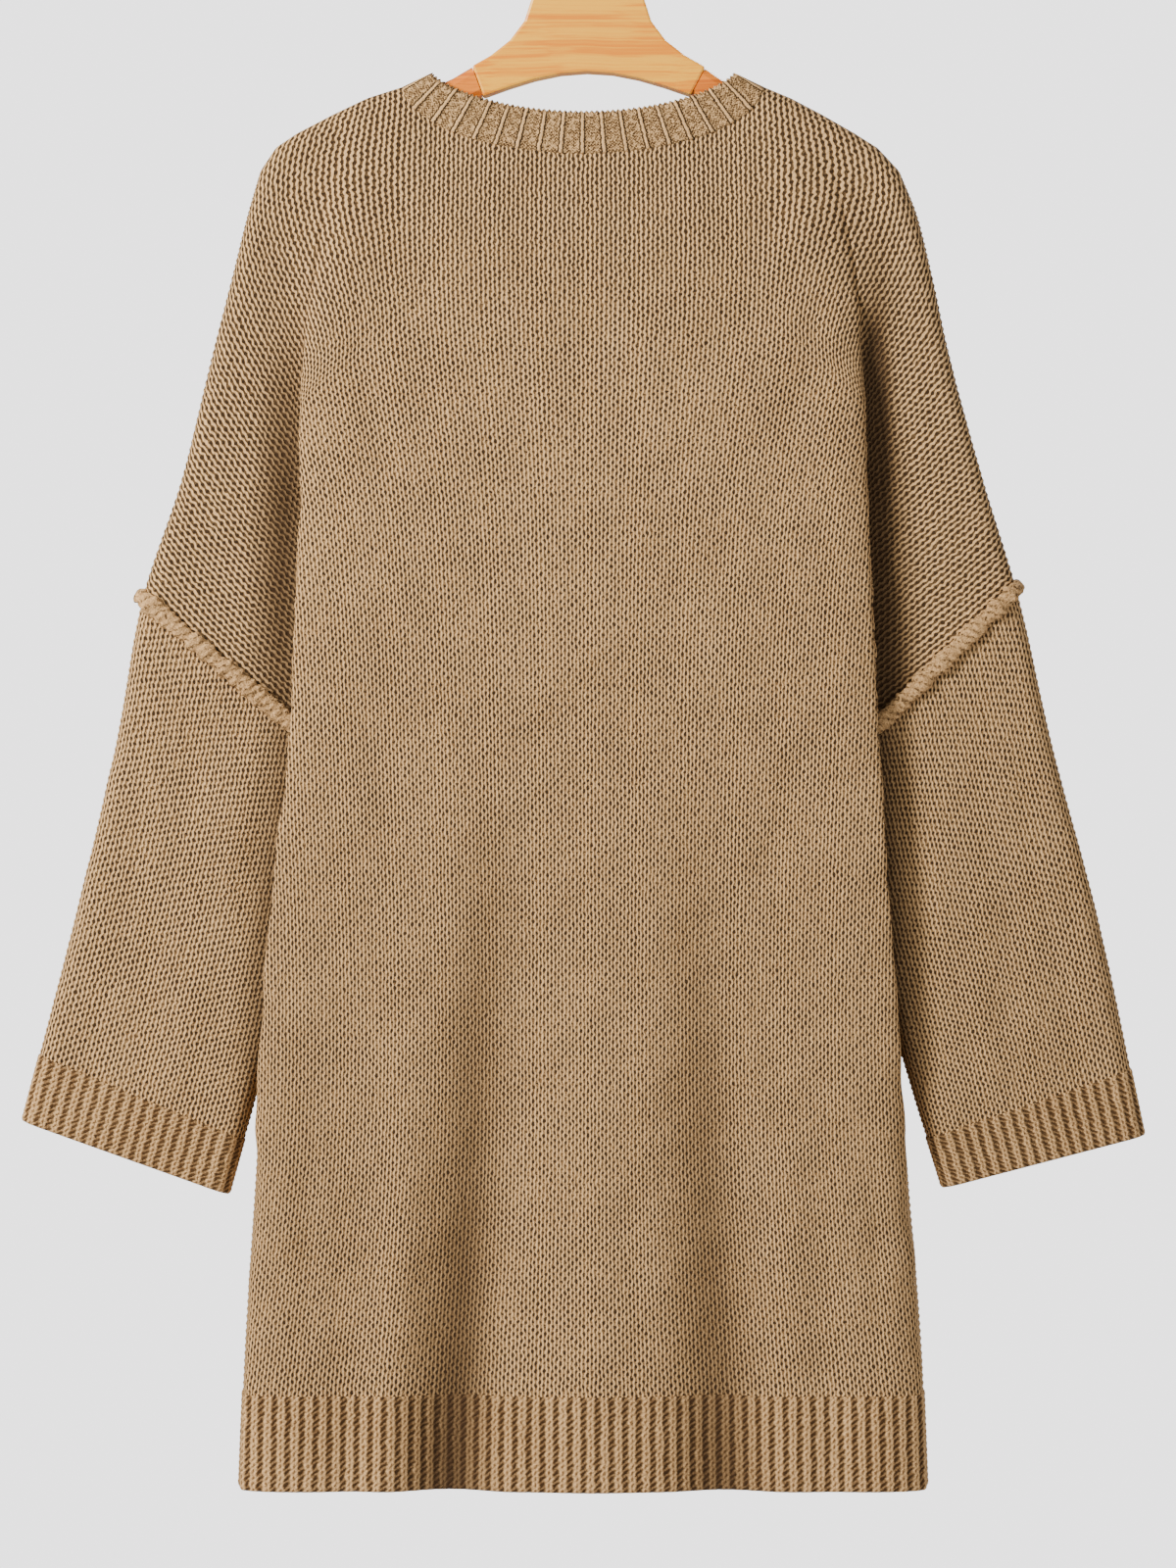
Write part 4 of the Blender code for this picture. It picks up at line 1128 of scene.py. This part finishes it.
class Nodes:
    """Short calls that add nodes to one material."""

    def __init__(self, material):
        self.tree = material.node_tree
        self.shader = self.tree.nodes["Principled BSDF"]

    def add(self, kind, **sockets):
        """A new node with these values on its sockets."""
        node = self.tree.nodes.new("ShaderNode" + kind)
        for socket, value in sockets.items():
            node.inputs[socket].default_value = value
        return node

    def link(self, source, target):
        self.tree.links.new(source, target)

    def feed(self, socket, value):
        if isinstance(value, bpy.types.NodeSocket):
            self.link(value, socket)
        else:
            socket.default_value = value

    def math(self, operation, a, b=0.0):
        node = self.add("Math")
        node.operation = operation
        self.feed(node.inputs[0], a)
        self.feed(node.inputs[1], b)
        return node.outputs[0]

    def plus(self, a, b):
        return self.math("ADD", a, b)

    def minus(self, a, b):
        return self.math("SUBTRACT", a, b)

    def times(self, a, b):
        return self.math("MULTIPLY", a, b)

    def wave(self, value, turns, operation="COSINE"):
        return self.math(operation, self.times(value, turns * TURN))

    def vector(self, operation, a, b):
        node = self.add("VectorMath")
        node.operation = operation
        self.feed(node.inputs[0], a)
        self.feed(node.inputs[1], b)
        return node.outputs[0]

    def mapped(self, name):
        node = self.add("UVMap")
        node.uv_map = name
        return node.outputs[0]

    def place(self):
        return self.add("TexCoord").outputs["Object"]

    def split(self, vector):
        node = self.add("SeparateXYZ")
        self.link(vector, node.inputs[0])
        return node.outputs[0], node.outputs[1], node.outputs[2]

    def noise(self, vector, scale, detail, roughness, distortion=0.0):
        """Noise as a value and as a colour."""
        node = self.add("TexNoise", Scale=scale, Detail=detail, Roughness=roughness,
                        Distortion=distortion)
        self.link(vector, node.inputs["Vector"])
        return node.outputs[0], node.outputs[1]

    def span(self, value, low, high, to_low=0.0, to_high=1.0):
        """Value from low to high, smoothly remapped."""
        node = self.add("MapRange")
        node.interpolation_type = "SMOOTHSTEP"
        for socket, item in zip(node.inputs, (value, low, high, to_low, to_high)):
            self.feed(socket, item)
        return node.outputs[0]

    def mix_colour(self, share, a, b):
        node = self.add("Mix")
        node.data_type = "RGBA"
        self.feed(node.inputs[0], share)
        self.feed(node.inputs[6], a)
        self.feed(node.inputs[7], b)
        return node.outputs[2]

    def finish(self, colour, height, distance, strength):
        """Colour the shader and raise its bumps by a height."""
        self.link(colour, self.shader.inputs["Base Color"])
        node = self.add("Bump", Strength=strength, Distance=distance)
        self.link(height, node.inputs["Height"])
        self.link(node.outputs[0], self.shader.inputs["Normal"])


# ---- materials

def wool(name):
    """Plain matt yarn, before its strands are drawn."""
    return new_material(name, {
        "Base Color": YARN_LIT, "Roughness": 0.9, "Specular IOR Level": 0.1,
        "Sheen Weight": 0.06, "Sheen Roughness": 0.4, "Sheen Tint": (0.9, 0.7, 0.45, 1.0),
    })


def yarn_colour(n, light):
    """Heathered yarn: a painted highlight on the strands, painted shade between them, with fine
    flecks.
    """
    fleck, _ = n.noise(n.place(), 1100.0, 2.0, 0.6)
    slow, _ = n.noise(n.place(), 18.0, 2.0, 0.5)
    light = n.plus(light, n.span(fleck, 0.3, 0.7, -0.30, 0.26))
    light = n.plus(light, n.span(slow, 0.3, 0.7, -0.06, 0.06))
    light = n.math("MAXIMUM", n.math("MINIMUM", light, 1.0), 0.0)
    return n.mix_colour(light, YARN_SHADED, YARN_LIT)


def wandering(n, stitch, scale, amount):
    """The stitch map with its stitches pushed about, as (u, v)."""
    _, wander = n.noise(stitch, scale, 2.0, 0.6)
    shift = n.vector("MULTIPLY", n.vector("SUBTRACT", wander, (0.5, 0.5, 0.5)), (amount,) * 3)
    u, v, _ = n.split(n.vector("ADD", stitch, shift))
    return u, v


def finish_yarn(n, light, gap, height):
    """Colour the strands by their light share, paint shade into the gaps and the hollows, sink the
    gaps and add the fibres.
    """
    hollow, _, _ = n.split(n.mapped("state"))
    gap_shaded = n.mix_colour(gap, yarn_colour(n, light), PAINTED_GAP_SHADE)
    fibre, _ = n.noise(n.place(), 1500.0, 2.0, 0.6)
    # Painted shade: the colour darkens towards a deep brown by the state map's hollow share
    n.finish(n.mix_colour(n.times(hollow, 0.88), gap_shaded, PAINTED_HOLLOW_SHADE), n.plus(n.times(fibre, 0.3), height),
             0.0010, 0.9)


def knit_material():
    """Open plain knit: wavy strands with a painted highlight, two to a wale, round a staggered
    lattice of holes painted dark as shade.
    """
    material = wool("knit_wool")
    n = Nodes(material)
    stitch = n.mapped("stitch")
    _, drawn, _ = n.split(n.mapped("state"))
    u, v = wandering(n, stitch, 0.8, 0.50)
    upright, sideways = n.wave(v, 1.0), n.wave(u, 1.0)
    push = n.times(n.times(upright, n.wave(u, 1.0, "SINE")), 0.065)
    strands = n.wave(n.minus(u, push), 2.0)
    tight, _ = n.noise(stitch, 1.1, 3.0, 0.8)
    patch, _ = n.noise(stitch, 0.12, 2.0, 0.5)
    openness = n.plus(n.span(tight, 0.40, 0.58), n.span(patch, 0.35, 0.65, -0.25, 0.15))
    openness = n.plus(openness, n.times(drawn, 0.25))
    hole = n.span(n.times(sideways, upright), n.span(openness, 0.0, 1.0, 0.45, -0.75),
                  n.span(openness, 0.0, 1.0, 1.15, 0.20))
    bead = n.wave(n.plus(v, n.times(sideways, 0.3)), 1.0)
    # The light share is a painted highlight on the strands' crests and on each stitch's bead
    light = n.plus(n.times(n.span(strands, 0.75, -0.65), 0.66), n.times(bead, 0.12))
    light = n.plus(light, n.plus(n.times(drawn, 0.12), 0.30))
    linked = n.math("MAXIMUM", hole, n.times(drawn, 0.80))
    # Painted shade in the holes and between the strands; the same share also sinks them
    gap = n.times(n.span(strands, -0.15, 0.70), n.plus(n.times(linked, 0.85), 0.10))
    finish_yarn(n, light, n.times(gap, 0.97), n.minus(n.times(light, 1.2), n.times(gap, 1.2)))
    return material


def roll_material():
    """The rolled raw edge of a seam: plump loops in rows with a painted highlight, and small gaps
    painted dark as shade.
    """
    material = wool("seam_wool")
    n = Nodes(material)
    stitch = n.mapped("stitch")
    u, v = wandering(n, stitch, 0.9, 1.5)
    loop = n.wave(n.plus(n.times(u, 0.5), n.times(v, 0.9)), 1.0)
    knot, _ = n.noise(stitch, 2.2, 3.0, 0.7)
    light = n.plus(n.times(loop, 0.10), n.span(knot, 0.35, 0.65, 0.36, 0.78))
    gap = n.times(n.span(loop, -0.50, -0.95), n.span(knot, 0.55, 0.35, 0.1, 0.8))
    finish_yarn(n, light, gap, n.minus(light, gap))
    return material


def rib_material(name, groove_light, foot, crest, wander):
    """Ribbed knit: two lit strands to a rib, a dashed line of painted shade between them, and
    grooves painted dark as shade.

    foot and crest say where a rib's side begins and ends, from 1 in the groove to -1.
    """
    material = wool(name)
    n = Nodes(material)
    u, v = wandering(n, n.mapped("stitch"), 0.9, wander)
    across = n.wave(u, 1.0)
    strand = n.span(across, foot, crest)
    ticks = n.span(n.wave(n.plus(n.times(u, 2.0), v), 1.0), 0.7, -0.7)
    dash = n.times(n.span(across, -0.80, -1.0), n.minus(0.85, n.times(ticks, 0.4)))
    on_strand = n.times(strand, n.minus(1.0, dash))
    light = n.plus(n.times(on_strand, 0.60), n.times(ticks, 0.30))
    gap = n.times(n.minus(1.0, strand), n.minus(1.0 - groove_light, n.times(ticks, 0.45)))
    finish_yarn(n, light, gap, n.minus(n.times(light, 1.2), gap))
    return material


def band_material():
    """The neckband: thin single strands between wide stretches of crosswise purl, with painted
    shadow down both sides of each strand and painted shade in the purl's pits.
    """
    material = wool("band_wool")
    n = Nodes(material)
    u, v = wandering(n, n.mapped("stitch"), 1.4, 0.16)
    across = n.wave(u, 1.0)
    cord = n.span(across, -0.86, -0.94)
    # Painted shadow down both sides of each cord, and painted shade in the purl's pits below
    edge = n.times(n.span(across, -0.50, -0.74), n.span(across, -0.92, -0.84))
    zigzag = n.plus(v, n.times(n.wave(u, 6.0), 0.16))
    speck, _ = n.noise(n.place(), 430.0, 2.0, 0.6)
    purl = n.plus(n.times(n.span(n.wave(zigzag, 1.9), -0.5, 0.4), 0.90),
                  n.span(speck, 0.38, 0.62, -0.22, 0.95))
    between = n.minus(1.0, cord)
    light = n.plus(n.times(cord, 0.9), n.times(between, purl))
    pits = n.times(between, n.minus(1.0, purl))
    gap = n.math("MAXIMUM", n.times(edge, 0.92), n.times(pits, 0.45))
    finish_yarn(n, light, gap, n.minus(light, n.times(gap, 1.2)))
    return material


def wood_material(name, light, dark):
    """Varnished wood with fine grain lines and pores."""
    material = new_material(name, {
        "Base Color": light, "Roughness": 0.38, "Specular IOR Level": 0.3,
        "Coat Weight": 0.15, "Coat Roughness": 0.25,
    })
    n = Nodes(material)
    place = n.place()
    _, warp = n.noise(place, 14.0, 2.0, 0.5)
    bent = n.vector("ADD", n.vector("MULTIPLY", place, GRAIN),
                    n.vector("MULTIPLY", warp, (0.4, 0.4, 0.4)))
    lines, _ = n.noise(bent, 5.0, 4.0, 0.65, 0.1)
    pores, _ = n.noise(bent, 22.0, 2.0, 0.6)
    colour = n.mix_colour(n.span(lines, 0.38, 0.66), light, dark)
    colour = n.mix_colour(n.span(pores, 0.60, 0.75, 0.0, 0.5), colour, dark)
    n.finish(colour, lines, 0.0002, 0.4)
    return material


def metal_material():
    """Plated wire, a little worn."""
    material = new_material("plated_wire", {
        "Base Color": PLATE_LIGHT, "Roughness": 0.25, "Metallic": 1.0,
    })
    n = Nodes(material)
    wear, _ = n.noise(n.place(), 160.0, 3.0, 0.6)
    colour = n.mix_colour(n.span(wear, 0.4, 0.8, 0.0, 0.5), PLATE_LIGHT, PLATE_DARK)
    n.link(colour, n.shader.inputs["Base Color"])
    n.link(n.span(wear, 0.3, 0.8, 0.18, 0.38), n.shader.inputs["Roughness"])
    return material


# ---- floor, lights, camera

def make_floor():
    """A pale floor below the hanging dress."""
    mesh = bpy.data.meshes.new("floor")
    angles = [TURN * k / FLOOR_SIDES for k in range(FLOOR_SIDES)]
    ring = [(FLOOR_RADIUS * math.cos(a), FLOOR_RADIUS * math.sin(a), FLOOR_LEVEL) for a in angles]
    mesh.from_pydata(ring, [], [tuple(range(FLOOR_SIDES))])
    mesh.materials.append(new_material("floor_paint", {"Base Color": PALE, "Roughness": 0.8}))
    floor = new_object("floor", mesh)


def make_backdrop():
    """A pale world that looks bright to the camera and lights the dress less."""
    world = bpy.data.worlds.new("studio")
    world.use_nodes = True
    tree = world.node_tree
    backdrop = tree.nodes["Background"]
    glow = tree.nodes.new("ShaderNodeBackground")
    for node, strength in ((backdrop, BACKDROP_STRENGTH), (glow, GLOW_STRENGTH)):
        node.inputs["Color"].default_value = PALE
        node.inputs["Strength"].default_value = strength
    seen = tree.nodes.new("ShaderNodeLightPath").outputs["Is Camera Ray"]
    either = tree.nodes.new("ShaderNodeMixShader")
    for socket, source in zip(either.inputs, (seen, glow.outputs[0], backdrop.outputs[0])):
        tree.links.new(source, socket)
    tree.links.new(either.outputs[0], tree.nodes["World Output"].inputs["Surface"])
    bpy.context.scene.world = world


def make_lights():
    """Round soft lamps that all aim at the dress."""
    for name, place, size, power, colour in LIGHTS:
        light = bpy.data.lights.new(name, "AREA")
        light.shape = "DISK"
        light.size = size
        light.energy = power
        light.color = colour
        item = new_object(name, light)
        item.location = place
        aim = Vector(LIGHT_AIM) - Vector(place)
        item.rotation_euler = aim.to_track_quat("-Z", "Y").to_euler()


def make_camera():
    """The camera at the photo's angle, level with the middle of what it shows."""
    data = bpy.data.cameras.new("camera")
    data.sensor_fit = "VERTICAL"
    data.sensor_height = 24.0
    data.lens = data.sensor_height * VIEW_DISTANCE / VIEW_HEIGHT
    camera = new_object("camera", data)
    camera.location = (VIEW_CENTRE[0], -VIEW_DISTANCE, VIEW_CENTRE[1])
    camera.rotation_euler = (0.5 * math.pi, 0.0, 0.0)
    bpy.context.scene.camera = camera


# ---- assembly

def dress_the_hanger():
    """Wood and metal for the hanger, which keeps the meshes of its nodes."""
    arm = wood_material("red_beech", *RED_BEECH)
    finishes = {
        "hanger_yoke": wood_material("beech", *BEECH),
        "hanger_arm_left": arm,
        "hanger_arm_right": arm,
        "hanger_hook": metal_material(),
    }
    for node, material in finishes.items():
        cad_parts[node].data.materials[0] = material


def build():
    """The studio, then each piece of the dress, then the hanger."""
    make_camera()
    make_backdrop()
    make_lights()
    make_floor()
    knit = knit_material()
    cuff_rib = rib_material("cuff_wool", 0.30, 0.85, -0.55, 0.50)
    roll = roll_material()
    make_panel("cloth_back", -1.0, BACK_NECK_DEPTH, BACK_FOLDS, BACK_CREASES, BACK_SHADES, knit)
    make_panel("cloth_front", 1.0, FRONT_NECK_DEPTH, FRONT_FOLDS, FRONT_CREASES, (), knit)
    for word, side in (("left", -1), ("right", 1)):
        make_sleeve("cloth_sleeve_" + word, side, knit)
        make_cuff("cuff_ribs_" + word, side, cuff_rib)
        make_roll("seam_roll_" + word, side, roll)
    make_hem(rib_material("hem_wool", 0.18, 0.90, -0.40, 0.42))
    make_neckband(band_material())
    dress_the_hanger()


build()
